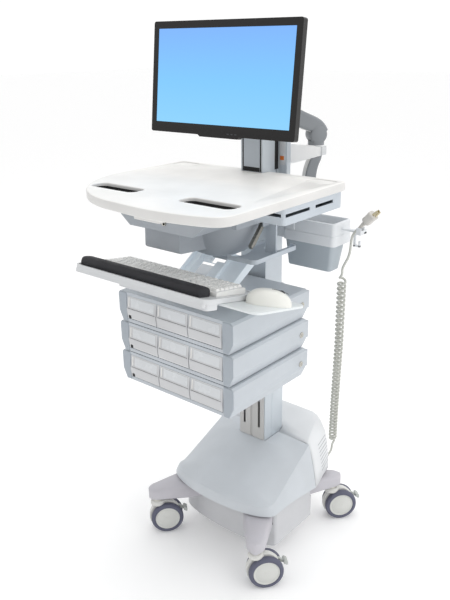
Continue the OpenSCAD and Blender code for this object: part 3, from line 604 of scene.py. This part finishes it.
def front_cover():
    """The crowned front cover: a ridge that falls from the column to the lip, creased above the sides."""
    rows = cover_rows()
    verts, faces = [], []
    across = [-1, -0.93, -0.82, -0.66, -0.48, -0.28, -0.1, 0, 0, 0, 0, 0.1, 0.28, 0.48, 0.66, 0.82, 0.93, 1]
    flat = [None] * 7 + [-1, -0.33, 0.33, 1] + [None] * 7
    n = len(across)
    for y, half, *_ in rows:
        middle = min(FLAT_HALF, half * 0.45)
        for f, m in zip(across, flat):
            x = middle * m if m is not None else math.copysign(middle + (half - middle) * abs(f), f)
            t = 0 if m is not None else abs(f)
            z = crease_z(y) + (ridge_z(y) - crease_z(y)) * (1 - t ** 1.7)
            verts.append((x, y, z))
    for i in range(len(rows) - 1):
        for k in range(n - 1):
            if 7 <= k < 10 and rows[i + 1][0] >= OPEN_FRONT:
                continue
            faces.append((i * n + k, (i + 1) * n + k, (i + 1) * n + k + 1, i * n + k + 1))
    edge = [(i, 0) for i in range(len(rows))] + [(i, n - 1) for i in range(len(rows) - 1)][::-1]
    start = len(verts)
    steps = (0.12, 0.5, 1.0)
    for i, k in edge:
        y, half, low_half, low_y, low_z = rows[i]
        beside = i < len(SIDE_YS)
        top = Vector(verts[i * n + k])
        side = -1 if k == 0 else 1
        low = Vector((side * low_half, low_y, low_z))
        for s in steps:
            p = top.lerp(low, s)
            bulge = (3.0 if beside else 1.8) * math.sin(math.pi * s)
            p += Vector((side * bulge, 0, 0)) if beside else Vector((0, -bulge, 0))
            verts.append(tuple(p))
    m = len(steps)
    for e in range(len(edge) - 1):
        tops = [edge[e][0] * n + edge[e][1], edge[e + 1][0] * n + edge[e + 1][1]]
        cols = [[tops[j]] + [start + (e + j) * m + s for s in range(m)] for j in (0, 1)]
        for s in range(m):
            faces.append((cols[0][s], cols[0][s + 1], cols[1][s + 1], cols[1][s]))
    obj = add("front_cover_shell", verts, faces, COVER_BLUE, "base", 28)
    thicken(obj)
    bevel(obj, 2.2, 3, 24)
    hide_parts("front_cover")


def rear_outline(y):
    """Half outline of the rear cover at a depth, from the lower edge up to the middle."""
    f = max(0.0, (y - 106) / 99)
    low = (198 - 17 * f ** 1.6, 161 + 19 * min(1, f * 2.2))
    side = (182.5 - 8 * f, 250 + 18 * f)
    shoulder = (167 - 21 * f, 297 + 42 * f)
    top = (146 - 32 * f, 305 + 55 * f)
    pts = [low, ((low[0] + side[0]) / 2 + 1.5, (low[1] + side[1]) / 2), side,
           ((side[0] + shoulder[0]) / 2 + 1 + 3 * f, (side[1] + shoulder[1]) / 2 + 1 + 3 * f), shoulder,
           ((shoulder[0] + top[0]) / 2 + 2, (shoulder[1] + top[1]) / 2 + 4), top, (FLAT_HALF, top[1] + 1),
           (0, top[1] + 1)]
    return pts


def rear_side_x(y, z):
    """Half width of the rear cover at a depth and a height."""
    pts = rear_outline(y)
    for (x0, z0), (x1, z1) in zip(pts, pts[1:]):
        if z0 <= z <= z1:
            return x0 + (x1 - x0) * (z - z0) / (z1 - z0)
    return pts[0][0]


def rear_cover():
    rings = []
    for y, inset in ((103.8, 0), (116, 0), (126, 0), (145, 0), (165, 0), (185, 0), (197, 0), (202, 1.5),
                     (205, 6)):
        half = rear_outline(y)
        full = [(x - inset if x else 0, z - inset) for x, z in half]
        full[0] = (half[0][0] - inset, half[0][1])
        full += [(-x, z) for x, z in full[-2::-1]]
        rings.append([(x, y, z) for x, z in full])
    n = len(rings[0])
    verts = [p for r in rings for p in r]
    faces = []
    for i in range(len(rings) - 1):
        for k in range(n - 1):
            if rings[i + 1][0][1] <= OPEN_REAR and 7 <= k <= 8:
                continue
            faces.append((i * n + k, i * n + k + 1, (i + 1) * n + k + 1, (i + 1) * n + k))
    faces.append(tuple((len(rings) - 1) * n + k for k in range(n)))
    obj = add("rear_cover_shell", verts, faces, COVER_WHITE, "base", 32)
    thicken(obj)
    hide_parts("rear_cover")
    # Eight louvres on each side, thin strips of painted shade, which climb towards the back
    verts, faces = [], []
    lowest, pitch, height, climb = 196, 12, 2.4, 0.3
    louvre_ys = (146, 150, 158, 166, 174, 182, 190, 194)
    for s in (-1, 1):
        for k in range(8):
            for y0, y1 in zip(louvre_ys, louvre_ys[1:]):
                i = len(verts)
                for y, up in ((y0, 0), (y1, 0), (y1, 1), (y0, 1)):
                    z = lowest + pitch * k + climb * (y - louvre_ys[0]) + height * up
                    verts.append((s * (rear_side_x(y, z) + 0.5), y, z))
                faces.append((i, i + 1, i + 2, i + 3))
    louvres = add("rear_cover_louvres", verts, faces, LOUVRE_PAINTED_SHADE, "base")
    sleeve = [(0.1, 0), (9, 0), (9, 3), (7.5, 4), (7.2, 5.5), (7.9, 6), (6.9, 8), (6.6, 9.5), (7.2, 10),
              (6.0, 14), (2.9, 14)]
    x0, y0, z0 = CORD_EXIT
    gland = lathe("cord_gland", sleeve, lambda x, y, z: (x0 + x, y0 - 10 + z, z0 + y), CORD, "base", 32)


# ---- casters ----

HEADING = math.radians(49)
TRAIL = 27
WHEEL_R = 51
CORNERS = {"fr": (1, -1), "fl": (-1, -1), "rr": (1, 1), "rl": (-1, 1)}


def caster(tag, sx, sy):
    along = Vector((math.cos(HEADING), math.sin(HEADING), 0))
    across = Vector((-along.y, along.x, 0))
    stem = Vector((sx * STEM_X, sy * STEM_Y, 0))

    def at(a, b, z):
        return stem + along * a + across * b + Vector((0, 0, z))

    def at_wheel(side):
        return lambda x, y, h: at(TRAIL + x, side * h, WHEEL_R + y)

    tyre = [(38.5, 9.2), (47, 9.0), (49.6, 10.6), (WHEEL_R, 14.5), (WHEEL_R, 20.5), (49.8, 24), (47.2, 26.2),
            (43.5, 27.0), (39.6, 26.8), (38.8, 25.6), (38.5, 24)]
    disc = [(0.1, 26.2), (7, 26.2), (7.6, 25.6), (29, 25.2), (30.5, 24.2), (33, 24.0), (35, 25.4),
            (37.4, 26.0), (38.4, 25.2), (38.6, 22), (38.6, 9.4), (0.1, 9.4)]
    for side, mark in ((-1, "near"), (1, "far")):
        t = lathe(f"tyre_{tag}_{mark}", tyre + tyre[:1], at_wheel(side), TYRE, "wheelset_" + tag, 72)
        d = lathe(f"disc_{tag}_{mark}", disc, at_wheel(side), DISC, "wheelset_" + tag, 72)
        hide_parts("wheels_" + tag)
    axle = lathe(f"axle_{tag}", [(0.1, -9.5), (4.9, -9.5), (4.9, 9.5), (0.1, 9.5)],
                 lambda x, y, h: at(TRAIL + x, h, WHEEL_R + y), CHROME, "wheelset_" + tag, 24)
    # Hood between the wheels, which stands proud of them on the side of the stem
    rim = [(TRAIL + r * math.cos(math.radians(d)), WHEEL_R + r * math.sin(math.radians(d)))
           for d, r in ((40, 49), (52, 50), (64, 52), (76, 55), (88, 57), (100, 58), (112, 58), (124, 58),
                        (136, 57.5), (148, 57), (160, 56.5), (172, 56), (184, 55.5), (196, 55), (206, 54))]
    hood = solid_from(f"hood_{tag}", rim + [(-10, 30), (10, 36), (14, 60), (52, 62)], 16.4,
                      lambda a, b, c: at(a, c - 8.2, b), HOOD, "fork_" + tag)
    bevel(hood, 2.0, 3)
    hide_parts("caster_" + tag)
    dome = [(0.1, 96), (22, 96), (23.5, 99), (23, 106), (20, 111), (17.5, 112.5), (0.1, 112.5)]
    crown = lathe(f"crown_{tag}", dome, lambda x, y, z: at(x, y * 0.9, z), HOOD, "fork_" + tag, 48)
    race = [(0.1, 112), (16.5, 112), (17, 112.6), (17, 119), (16.4, 119.6), (0.1, 119.6)]
    ring = lathe(f"swivel_ring_{tag}", race, at, LOCK, "fork_" + tag, 48)
    soften("brake_pedal_" + tag, PEDAL, 1.2, 3)


# ---- drawers ----

CABINET_HALF = 201
CABINET_FRONT = -300
CABINET_Z = 581.5
CABINET_PITCH = 87.6
CABINET_H = 85.4
DRAWER_PITCH = 112
DRAWER_W = 109


def cabinet(row, node):
    z0 = CABINET_Z + (row - 1) * CABINET_PITCH
    soften(node, CABINET, 1.2, 2)
    w, top = CABINET_HALF, z0 + CABINET_H
    for s, mark in SIDES:
        outline = ((170, z0 + 1), (w - 15, z0 + 1), (w - 1.5, z0 + 30), (w - 1.5, top - 8), (w - 4, top - 3),
                   (w - 8, top - 1.5), (170, top - 1.5))
        strip = solid_from(f"{node}_bezel_{mark}", [(s * a, b) for a, b in outline], 3,
                           lambda a, b, c: (a, CABINET_FRONT - 2 + c, b), CABINET_BEZEL, "lift")
        bevel(strip, 0.8, 2)
        x0, x1 = sorted((s * 122, s * (w - 14)))
        back = block(f"{node}_back_{mark}", (x0, 16.6, z0 + 12), (x1, 18.6, top - 8), CABINET, "lift", 0.6, 2)
    # A black strip low on each cabinet's front: painted shadow in the gap between cabinets
    painted_gap_shadow = block(f"{node}_shadow", (-168, CABINET_FRONT + 1.5, z0 + 3), (168, CABINET_FRONT + 4, z0 + 9),
                BLACK_AND_PAINTED_SHADE, "lift", 0.3, 1)


def drawer(row, col):
    node = f"drawer_{row}{col}"
    body = f"{node}_body"
    z0 = CABINET_Z + (row - 1) * CABINET_PITCH + 10
    x0 = (col - 2) * DRAWER_PITCH
    y0 = CABINET_FRONT
    half = DRAWER_W / 2
    soften(node, DRAWER, 1.0, 3)

    def on_upper(a, b, c):
        """Across the leaning upper panel: a from its middle, b up from the step, c out of it."""
        lean = 4 / 33
        return (x0 + a, y0 - 4 + lean * b - c, z0 + 33 + b)

    label = solid_from(node + "_label", rounded_rect(4, 16.5, DRAWER_W - 22, 26, 2.0, 4), 1.0,
                       lambda a, b, c: on_upper(a, b, c - 0.4), LABEL, body)
    bevel(label, 0.35, 2)
    grip = solid_from(node + "_mark", rounded_rect(-half + 7, 16.5, 3.0, 26, 1.0, 3), 1.2,
                      lambda a, b, c: on_upper(a, b, c - 0.4), WHITE, body)
    # The black line under the step and the black notch are painted shade in a crease and a recess
    line = block(node + "_step", (x0 - half + 3, y0 - 4.9, z0 + 30.6), (x0 + half - 3, y0 - 4.2, z0 + 32.4),
                 BLACK_AND_PAINTED_SHADE, body, 0.15, 1)
    if col == 1:
        notch = block(node + "_notch", (x0 - half + 5, y0 - 4.6, z0 + 4), (x0 - half + 14, y0 - 3.4, z0 + 13),
                      BLACK_AND_PAINTED_SHADE, body, 0.4, 2)


def side_lock(row, node):
    z = CABINET_Z + (row - 1) * CABINET_PITCH + 46
    body = body_of(node)

    def at(x, y, h):
        return (190 + h, -6 + x, z + y)

    barrel = [(0.1, 0), (7.9, 0), (7.9, 12.4), (7.4, 13), (6.2, 13), (6.0, 12.5), (0.1, 12.5)]
    obj = lathe(node + "_look", barrel, at, LOCK, body, 40)
    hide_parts(node)
    # The black keyway is painted shade in the key slot
    key = block(node + "_keyway", (202.3, -6.7, z - 3.5), (202.8, -5.3, z + 3.5), BLACK_AND_PAINTED_SHADE, body, 0.1, 1)


# ---- worksurface ----

SURFACE_Z = 1137
SURFACE_UNDER = 1114
SURFACE_HALF = 288
SURFACE_REAR = 60
SURFACE_FRONT = -466
BOW_X = 100
RISER_HALF = 37.5
RISER_FRONT = 30.5


def arc(cx, cy, r, start, stop, steps):
    """Points round (cx, cy) from one angle to another, in degrees."""
    angles = [math.radians(start + (stop - start) * k / steps) for k in range(steps + 1)]
    return [(cx + r * math.cos(a), cy + r * math.sin(a)) for a in angles]


def surface_outline():
    """Small rounds and a notch at the rear, a long round at the front left, a bow and a tight round."""
    rear_r, left_r, right_r = 16, 280, 51
    rear_x, rear_y = SURFACE_HALF - 4 - rear_r, SURFACE_REAR - rear_r
    pts = arc(rear_x, rear_y, rear_r, 0, 90, 8)
    pts += [(RISER_HALF, SURFACE_REAR), (RISER_HALF, RISER_FRONT)]
    pts += [(-RISER_HALF, RISER_FRONT), (-RISER_HALF, SURFACE_REAR)]
    pts += arc(-rear_x, rear_y, rear_r, 90, 180, 8)
    pts += arc(left_r - SURFACE_HALF, SURFACE_FRONT + 7 + left_r, left_r, 180, 263, 24)
    pts += [(x, SURFACE_FRONT + (x - BOW_X) ** 2 / (1700 if x < BOW_X else 925)) for x in range(-10, 251, 20)]
    return pts + arc(SURFACE_HALF - right_r, SURFACE_FRONT + 23 + right_r, right_r, 293, 360, 12)


def flat_curve(name, loops, z0, z1, r):
    """A plate over closed loops, the first one outside, with rounded rims."""
    curve = bpy.data.curves.new(name, "CURVE")
    curve.dimensions = "2D"
    curve.fill_mode = "BOTH"
    curve.extrude = ((z1 - z0) / 2 - r) / 1000
    curve.bevel_depth = r / 1000
    curve.bevel_resolution = 3
    curve.offset = -r / 1000
    for loop in loops:
        spline = curve.splines.new("POLY")
        spline.points.add(len(loop) - 1)
        for point, (x, y) in zip(spline.points, loop):
            p = place((x, y, 0))
            point.co = (p.x, p.y, 0, 1)
        spline.use_cyclic_u = True
    obj = new_object(name, curve)
    mesh = evaluated_mesh(obj)
    bpy.data.objects.remove(obj)
    mesh.transform(Matrix.Translation((0, 0, (z0 + z1) / 2000)))
    return mesh


HAND_SLOTS = (-136, 168)
HAND_SLOT_Y = -338


def worksurface():
    slots = [rounded_rect(x, HAND_SLOT_Y, 158, 50, 18, 8)[::-1] for x in HAND_SLOTS]
    mesh = flat_curve("worksurface_top", [surface_outline()] + slots, SURFACE_UNDER, SURFACE_Z, 4.5)
    obj = finish_mesh("worksurface_top", mesh, WHITE, "lift", 40)
    cut(obj, [extrude("recess_" + mark, rounded_rect(s * 232, 18, 72, 50, 12, 6), SURFACE_Z - 1.6,
                      SURFACE_Z + 3, WHITE, None) for s, mark in SIDES])
    obj.data.materials.clear()
    obj.data.materials.append(WHITE)
    obj.data.materials.append(WHITE_PAINTED_SHADE)
    # Upright rim faces take the darker copy: painted shade on the worksurface's edge
    for face in obj.data.polygons:
        face.material_index = 1 if abs(face.normal.z) < 0.7 else 0
    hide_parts("worksurface")
    # The lip under the front edge also takes the painted-shade white
    lip = block("surface_lip", (51, SURFACE_FRONT + 6, SURFACE_UNDER - 7),
                (131, SURFACE_FRONT + 30, SURFACE_UNDER + 3), WHITE_PAINTED_SHADE, "lift", 3, 3)
    # Black linings just inside the hand slots, over their white walls: painted shade
    for x, mark in zip(HAND_SLOTS, ("left", "right")):
        rings = []
        for w, d, r, z in ((158.4, 50.4, 18, 1128.5), (157, 49, 17.5, 1128), (156, 48, 17, 1116.5),
                           (150, 44, 16, 1114.3)):
            rings.append([(a, b, z) for a, b in rounded_rect(x, HAND_SLOT_Y, w, d, r, 8)])
        well = loft("hand_slot_painted_shade_well_" + mark, rings, BLACK_AND_PAINTED_SHADE, "lift", (False, True), 50)


def riser_trim():
    """The panel, strips and marks on the riser's front and the rear block's face; the black void and slots
    are painted shade in its openings.
    """
    panel = block("riser_panel", (-27, 29.6, 1150), (27, 31.4, 1236), HOUSING_LIGHT, "lift", 0.7, 2)
    cap = block("riser_cap", (-37.2, 30.8, 1236.5), (37.2, 105, 1239.5), HOUSING_LIGHT, "lift", 1.0, 2)
    painted_void_shade = block("riser_void", (-27, 30.4, 1137.5), (27, 31.3, 1149), BLACK_AND_PAINTED_SHADE, "lift", 0.1, 1)
    # Black strips in the slots beside the panel and on the sides: painted shade
    for s, mark in SIDES:
        for kind, near, far, y0, y1 in (("slot_", 28.2, 32, 30.5, 31.6), ("side_slot_", 36.6, 37.3, 86, 103)):
            x0, x1 = sorted((s * near, s * far))
            block("riser_" + kind + mark, (x0, y0, 1138), (x1, y1, 1236), BLACK_AND_PAINTED_SHADE, "lift",
                                0.1, 1)
    block("riser_label", (41, 103.2, 1150), (60, 104.2, 1226), LABEL, "lift", 0.3, 1)
    block("riser_label_mark", (43, 102.7, 1163), (56, 103.6, 1174), ORANGE, "lift", 0.2, 1)


def bin_ring(low, high, z, inset=0.0, r=12):
    (x0, y0), (x1, y1) = low, high
    corners = rounded_rect((x0 + x1) / 2, (y0 + y1) / 2, x1 - x0 - 2 * inset, y1 - y0 - 2 * inset,
                           max(r - inset, 2), 6)
    return [(a, b, z) for a, b in corners]


def bin_and_clip():
    """An open bin with a deep two-step rim, its strap, and the arm that holds the plug and the cord."""
    foot, top, rim = ((100, 66), (238, 116)), ((92, 62), (246, 128)), ((86, 60), (252, 152))
    walls = ((foot, 884, 2), (foot, 886, 0), (top, 957, 0), (top, 957, 4), (foot, 889, 4))
    body = loft("bin_body", [bin_ring(*ends, z, inset, 10) for ends, z, inset in walls], BIN_BODY, "lift")
    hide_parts("storage_bin")
    steps = [(956, 0), (983, 0), (984.5, 1.6), (1014, 1.6), (1017, 2.4), (1018, 4), (1018, 8), (1015, 9),
             (960, 9)]
    rings = [bin_ring(*rim, z, inset) for z, inset in steps]
    rings += [bin_ring(*top, 959, 5, 10), bin_ring(*top, 956, 5, 10), rings[0]]
    pieces = [body, loft("bin_rim", rings, BIN_RIM, "lift", (False, False))]
    for mark, low, high in (("strap", (104, 58, 985), (126, 61, 1105)),
                            ("root", (53, 70, 956), (90, 110, 1000)),
                            ("arm", (250, 98, 996), (318, 112, 1002)),
                            ("clip_base", (304, 80, 996), (318, 112, 1007)),
                            ("clip_front", (304, 80, 1006), (318, 83, 1015)),
                            ("clip_back", (304, 99, 1006), (318, 102, 1015)),
                            ("hook_stem", (284, 104, 956), (290, 110, 998)),
                            ("hook_foot", (284, 104, 956), (304, 110, 962)),
                            ("hook_tip", (299, 104, 956), (304, 110, 974))):
        pieces.append(block("bin_" + mark, low, high, BIN_RIM, "lift", 1.0, 3))


def zoned(node, materials, zone, width=0.8, segments=2):
    """soften() with more than one material: zone(face centre in cart mm) gives each face's index."""
    obj = soften(node, materials[0], width, segments)
    for extra in materials[1:]:
        obj.data.materials.append(extra)
    for face in obj.data.polygons:
        face.material_index = zone(unplace(face.center))
    return obj


# ---- keyboard, mouse ----

TRAY_SLOPE = math.radians(11.3)
TRAY_ORIGIN = Vector((-9, -415, 940))


def on_tray(x, y, z):
    c, s = math.cos(TRAY_SLOPE), math.sin(TRAY_SLOPE)
    return TRAY_ORIGIN + Vector((x, y * c + z * s, -y * s + z * c))


def keyboard():
    deck_points = [(0, 0), (0, 8.5), (3, 10.6), (105, 15.6), (108, 13), (108, 0)]
    slope, pitch, depth = 0.0476, 16.2, 14.6

    def at(x, y, z):
        return on_tray(5 + x, 62 + y, -3 + z)

    deck = solid_from("keyboard_deck", deck_points, 404, lambda a, b, c: at(c - 202, a, b), KEYS, "kb_tray")
    bevel(deck, 1.6, 3)
    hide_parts("keyboard")
    well = solid_from("keyboard_well", [(-197, 5), (197, 5), (197, 103), (-197, 103)], 0.8,
                      lambda a, b, c: at(a, b, 10.3 + slope * b + c * 0.5), KEY_DECK, "kb_tray")
    verts, faces = [], []

    def key(x0, x1, row):
        """A cap that narrows upwards, higher in the front and rear rows."""
        y0 = 6.6 + pitch * row
        y1 = y0 + depth
        base = 10.4 + slope * y0
        rise = 5.6 + 0.3 * abs(row - 2)
        i = len(verts)
        for inset, h, back in ((0, base, 0), (0.3, base + 1.5, 0), (1.9, base + rise, 0.9)):
            verts.extend(at(x, y, h + slope * (y - y0)) for x, y in
                         ((x0 + inset, y0 + inset + back * 0.2), (x1 - inset, y0 + inset + back * 0.2),
                          (x1 - inset, y1 - inset - back), (x0 + inset, y1 - inset - back)))
        for lvl in (0, 4):
            for k in range(4):
                faces.append((i + lvl + k, i + lvl + (k + 1) % 4, i + lvl + 4 + (k + 1) % 4, i + lvl + 4 + k))
        faces.append((i + 8, i + 9, i + 10, i + 11))

    unit = 18.4
    # Widths of the keys in each row, in units, from the user's side backwards
    layout = ((1.3, 1.2, 1.2, 5.9, 1.2, 1.2, 1.2, 1.8), (2.3,) + (1,) * 10 + (2.7,),
              (1.8,) + (1,) * 11 + (2.2,), (1.5,) + (1,) * 12 + (1.5,), (1,) * 13 + (2,), (1,) * 15)
    for row, widths in enumerate(layout):
        x = -196.0
        for w in widths:
            key(x, x + w * unit - 1.6, row)
            x += w * unit
        for k in range(2):
            if row != 1:
                key(86 + k * 18, 86 + k * 18 + 16.4, row)
        for k in range(4):
            key(124.5 + k * 17.9, 124.5 + k * 17.9 + 16.3, row)
    keys = add("keyboard_keys", verts, faces, KEYS, "kb_tray", 30)
    bevel(keys, 0.5, 1, 25)


def palm_rest():
    section = [(16, 0), (14, 5), (14.4, 12), (17, 19), (22, 22.6), (32, 23.2), (44, 22.6), (52, 20),
               (55.4, 15), (56, 8), (56, 0)]
    ends = [(100, 1), (197, 1), (203, 0.95), (206.5, 0.86), (208, 0.72)]
    rings = []
    for x, f in [(-x, f) for x, f in ends[::-1]] + [(0, 1)] + ends:
        rings.append([on_tray(-12 + x, 35 + (y - 35) * f, -3 + z * (0.35 + 0.65 * f)) for y, z in section])
    obj = loft("palm_rest_foam", rings, PALM, "kb_tray", smooth=60)
    bevel(obj, 1.5, 2, 40)
    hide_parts("palm_rest")


def mouse():
    turn = math.radians(-50)

    def at(x, y, z):
        return on_tray(278 + x * math.cos(turn) - y * math.sin(turn),
                       170 + x * math.sin(turn) + y * math.cos(turn), -13 + z)

    rings = []
    for h in (0.2, 1.5, 6, 12, 18, 24, 29, 32.5, 34.8, 35.6):
        f = math.sqrt(max(0.0, 1 - (h / 36.5) ** 2.4))
        ring = []
        for a in full_turn(48):
            c, s = math.cos(a), math.sin(a)
            w = 30 * (0.35 + 0.65 * f) - (1.5 if 10 < h < 20 else 0)
            d = 54.5 * (0.18 + 0.82 * f)
            ring.append(at(w * math.copysign(abs(c) ** 0.8, c),
                           d * math.copysign(abs(s) ** 0.8, s) - 4 * (h / 36) ** 2, h))
        rings.append(ring)
    obj = loft("mouse_shell", rings, MOUSE, "mouse_body", smooth=50)
    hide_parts("mouse")
    # A thin black tube along the split between the buttons: painted shade in the gap
    seam = [at(0, y, 37.2 - 0.0042 * y ** 2) for y in range(4, 46, 4)]
    split = tube("mouse_split", seam, 0.5, BLACK_AND_PAINTED_SHADE, "mouse_body", 8)
    wheel = lathe("mouse_wheel", [(0.1, -3), (8, -3), (8.6, -2), (8.6, 2), (8, 3), (0.1, 3)],
                  lambda x, y, h: at(h, 27 + x, 27.5 + y), ARM_DARK, "mouse_body", 32)


# ---- display and arm ----

DISPLAY_TURN = math.radians(2.5)
DISPLAY_LEAN = math.radians(6.5)
DISPLAY_AT = Vector((0, -95, 1385))
COLLAR_Z = 1181.5


def on_display(x, y, z):
    turn = Matrix.Rotation(DISPLAY_TURN, 3, "Z") @ Matrix.Rotation(-DISPLAY_LEAN, 3, "X")
    return DISPLAY_AT + turn @ Vector((x, y, z))


def display():
    soften("display", BEZEL, 1.6, 3)
    panel = block("screen_panel", (-211, 0.15, -112.6), (211, 0.9, 120.6), SCREEN, "screen", 0.15, 1,
                  on_display)
    for k in range(3):
        b = block(f"display_button_{k}", (28 + 12 * k, -0.4, -134), (35 + 12 * k, 0.6, -131.5), ARM_DARK,
                  "screen", 0.3, 2, on_display)


ARM_TURN = math.radians(33)
POST = Vector((128, 150, 0))


def on_arm(x, y, z):
    c, s = math.cos(-ARM_TURN), math.sin(-ARM_TURN)
    return POST + Vector((x * c - y * s, x * s + y * c, z))


def two_tone(obj):
    """Dark cheeks across the arm's pins, pale above and below."""
    across = Vector((math.cos(-ARM_TURN), math.sin(-ARM_TURN), 0))
    obj.data.materials.append(ARM_PALE)
    for face in obj.data.polygons:
        face.material_index = 0 if abs(face.normal.dot(across)) > 0.6 else 1


def arm_section(line, sizes):
    """Rings round a line in the arm's upright plane; sizes gives half width and half height."""
    rings = []
    for i, (p, (half_w, half_h)) in enumerate(zip(line, sizes)):
        t = tangent(line, i)
        up = Vector((1, 0, 0)).cross(t).normalized()
        rings.append([on_arm(*(p + Vector((a, 0, 0)) + up * b))
                      for a, b in rounded_rect(0, 0, 2 * half_w, 2 * half_h, min(half_w, half_h) * 0.45, 6)])
    return rings


def arm_post():
    """The collar and the elbow fork of the CAD post, on a casting that bends in below the link."""
    obj = soften("arm_post", ARM_GREY, 1.2, 3)
    b = bmesh.new()
    b.from_mesh(obj.data)
    low = place((0, 0, COLLAR_Z + 0.4)).z
    bmesh.ops.delete(b, geom=[f for f in b.faces if all(v.co.z < low for v in f.verts)], context="FACES")
    b.to_mesh(obj.data)
    b.free()
    line = smooth_path([(0, 0, COLLAR_Z), (0, -2, 1172), (0, -9, 1158), (0, -14, 1142), (0, -17, 1126),
                        (0, -18, 1111)], 8)
    sizes = [(15 - 2 * i / len(line), 15 + 3 * i / len(line)) for i in range(len(line))]
    stem = loft("post_casting", arm_section(line, sizes), ARM_GREY, "post", smooth=50)
    two_tone(stem)


def forearm():
    line = smooth_path([(0, 12, 1236), (0, 2, 1250), (0, -14, 1261), (0, -50, 1276), (0, -90, 1297),
                        (0, -140, 1338), (0, -176, 1368), (0, -188, 1376)], 6)
    last = len(line) - 1
    sizes = [(20 - 8 * (i / last) ** 2, 19 + 5 * math.sin(math.pi * i / last) - 8 * (i / last) ** 2)
             for i in range(len(line))]
    obj = loft("forearm_look", arm_section(line, sizes), ARM_GREY, "arm", smooth=60)
    two_tone(obj)
    bevel(obj, 1.2, 2, 60)
    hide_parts("forearm")
    drum = [(0.1, -22.5), (19, -22.5), (23, -20), (24.5, -16), (24.5, 16), (23, 20), (19, 22.5), (0.1, 22.5)]
    elbow = lathe("forearm_elbow", drum, lambda x, y, h: on_arm(h, x, 1234 + y), ARM_GREY, "arm", 48)
    hub = lathe("forearm_hub", [(6.1, -16), (13.2, -16), (14, -15), (14, 15), (13.2, 16), (6.1, 16)],
                lambda x, y, z: on_arm(x, y - 200, 1378 + z), ARM_DARK, "arm", 40)


# ---- assembly ----

def build():
    for tag, (sx, sy) in CORNERS.items():
        base_arm("base_arm_" + tag, sx, sy)
        caster(tag, sx, sy)
    hub = extrude("base_hub", rounded_rect(0, 7.5, 300, 225, 12, 6), 118, 160, CAST, "base")
    bevel(hub, 2, 2)
    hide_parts("base_frame")
    soften("base_skirt", SKIRT, 1.5, 3)
    soften("battery_pack", BLACK_AND_PAINTED_SHADE, 1.5, 2)
    front_cover()
    rear_cover()
    soften("fixed_column", ANODISED, 0.8, 2)
    soften("column_cover", CREAM, 0.7, 2)
    soften("gas_spring_body", BLACK_PAINT, 1.0, 2)
    soften("gas_spring_rod", CHROME, 0.5, 2)
    soften("moving_column", ANODISED, 0.7, 2)
    soften("drawer_carrier", STEEL_DARK, 1.0, 2)
    for row, level in ((1, "low"), (2, "mid"), (3, "top")):
        cabinet(row, "cabinet_" + level)
        side_lock(row, "side_lock_" + level)
        for col in (1, 2, 3):
            drawer(row, col)
    worksurface()
    soften("head_housing", HOUSING, 2.0, 3)
    soften("tech_box", HOUSING_LIGHT, 1.5, 3)
    soften("front_lock", LOCK, 0.5, 2)
    riser_trim()
    bin_and_clip()
    soften("lift_lever", LEVER, 0.8, 2)
    soften("scanner_holder", HOUSING_LIGHT, 1.2, 3)
    soften("keyboard_arm", BRACKET_PAINTED_LIGHT, 1.0, 2)
    soften("keyboard_tray", TRAY, 1.6, 3)
    keyboard()
    palm_rest()
    soften("mouse_tray", MOUSE_TRAY, 1.6, 3)
    mouse()
    zoned("arm_link", (ARM_WHITE_PAINTED_LIGHT, ARM_CAP), lambda c: 1 if c.x > 138 else 0, 1.6, 3)
    arm_post()
    forearm()
    soften("display_yoke", ARM_DARK, 1.0, 2)
    display()


FLOOR_SIDE = 60


def make_stage():
    """A pale floor, a soft white sky and three lamps; places here are in the row frame, in metres."""
    half = FLOOR_SIDE / 2
    mesh = bpy.data.meshes.new("floor")
    mesh.from_pydata([(-half, -half, 0), (half, -half, 0), (half, half, 0), (-half, half, 0)], [],
                     [(0, 1, 2, 3)])
    mesh.materials.append(surface("floor_finish", (252, 252, 252), rough=0.75, vary=0.01, grain=300,
                                  bump=0.02, glow=0.1))
    new_object("floor", mesh)
    world = bpy.data.worlds.new("studio")
    bpy.context.scene.world = world
    nodes, links = node_tree(world)
    # Softer from the front, so that faces towards the user read a little darker than the sides and tops
    fade = spread(nodes, links, generated(nodes, links, "Y"), 0.58, 1.05, -1.0, 0.3)
    links.new(fade, nodes["Background"].inputs["Strength"])
    put(nodes["Background"], {"Color": (1, 1, 1, 1)})
    for name, at, aim, size, power in (("key", (-1.8, -3.2, 2.6), (0, 0, 0.8), 2.4, 4),
                                       ("side", (3.4, -0.6, 2.0), (0, 0, 0.7), 2.6, 17),
                                       ("top", (0.3, 0.4, 4.2), (0, 0, 0.9), 2.6, 31)):
        data = bpy.data.lights.new(name, "AREA")
        data.energy = power
        data.size = size
        lamp = new_object(name, data)
        lamp.location = at
        lamp.rotation_euler = (Vector(aim) - Vector(at)).to_track_quat("-Z", "Y").to_euler()


build()
make_stage()
bpy.context.scene.view_settings.view_transform = "Standard"
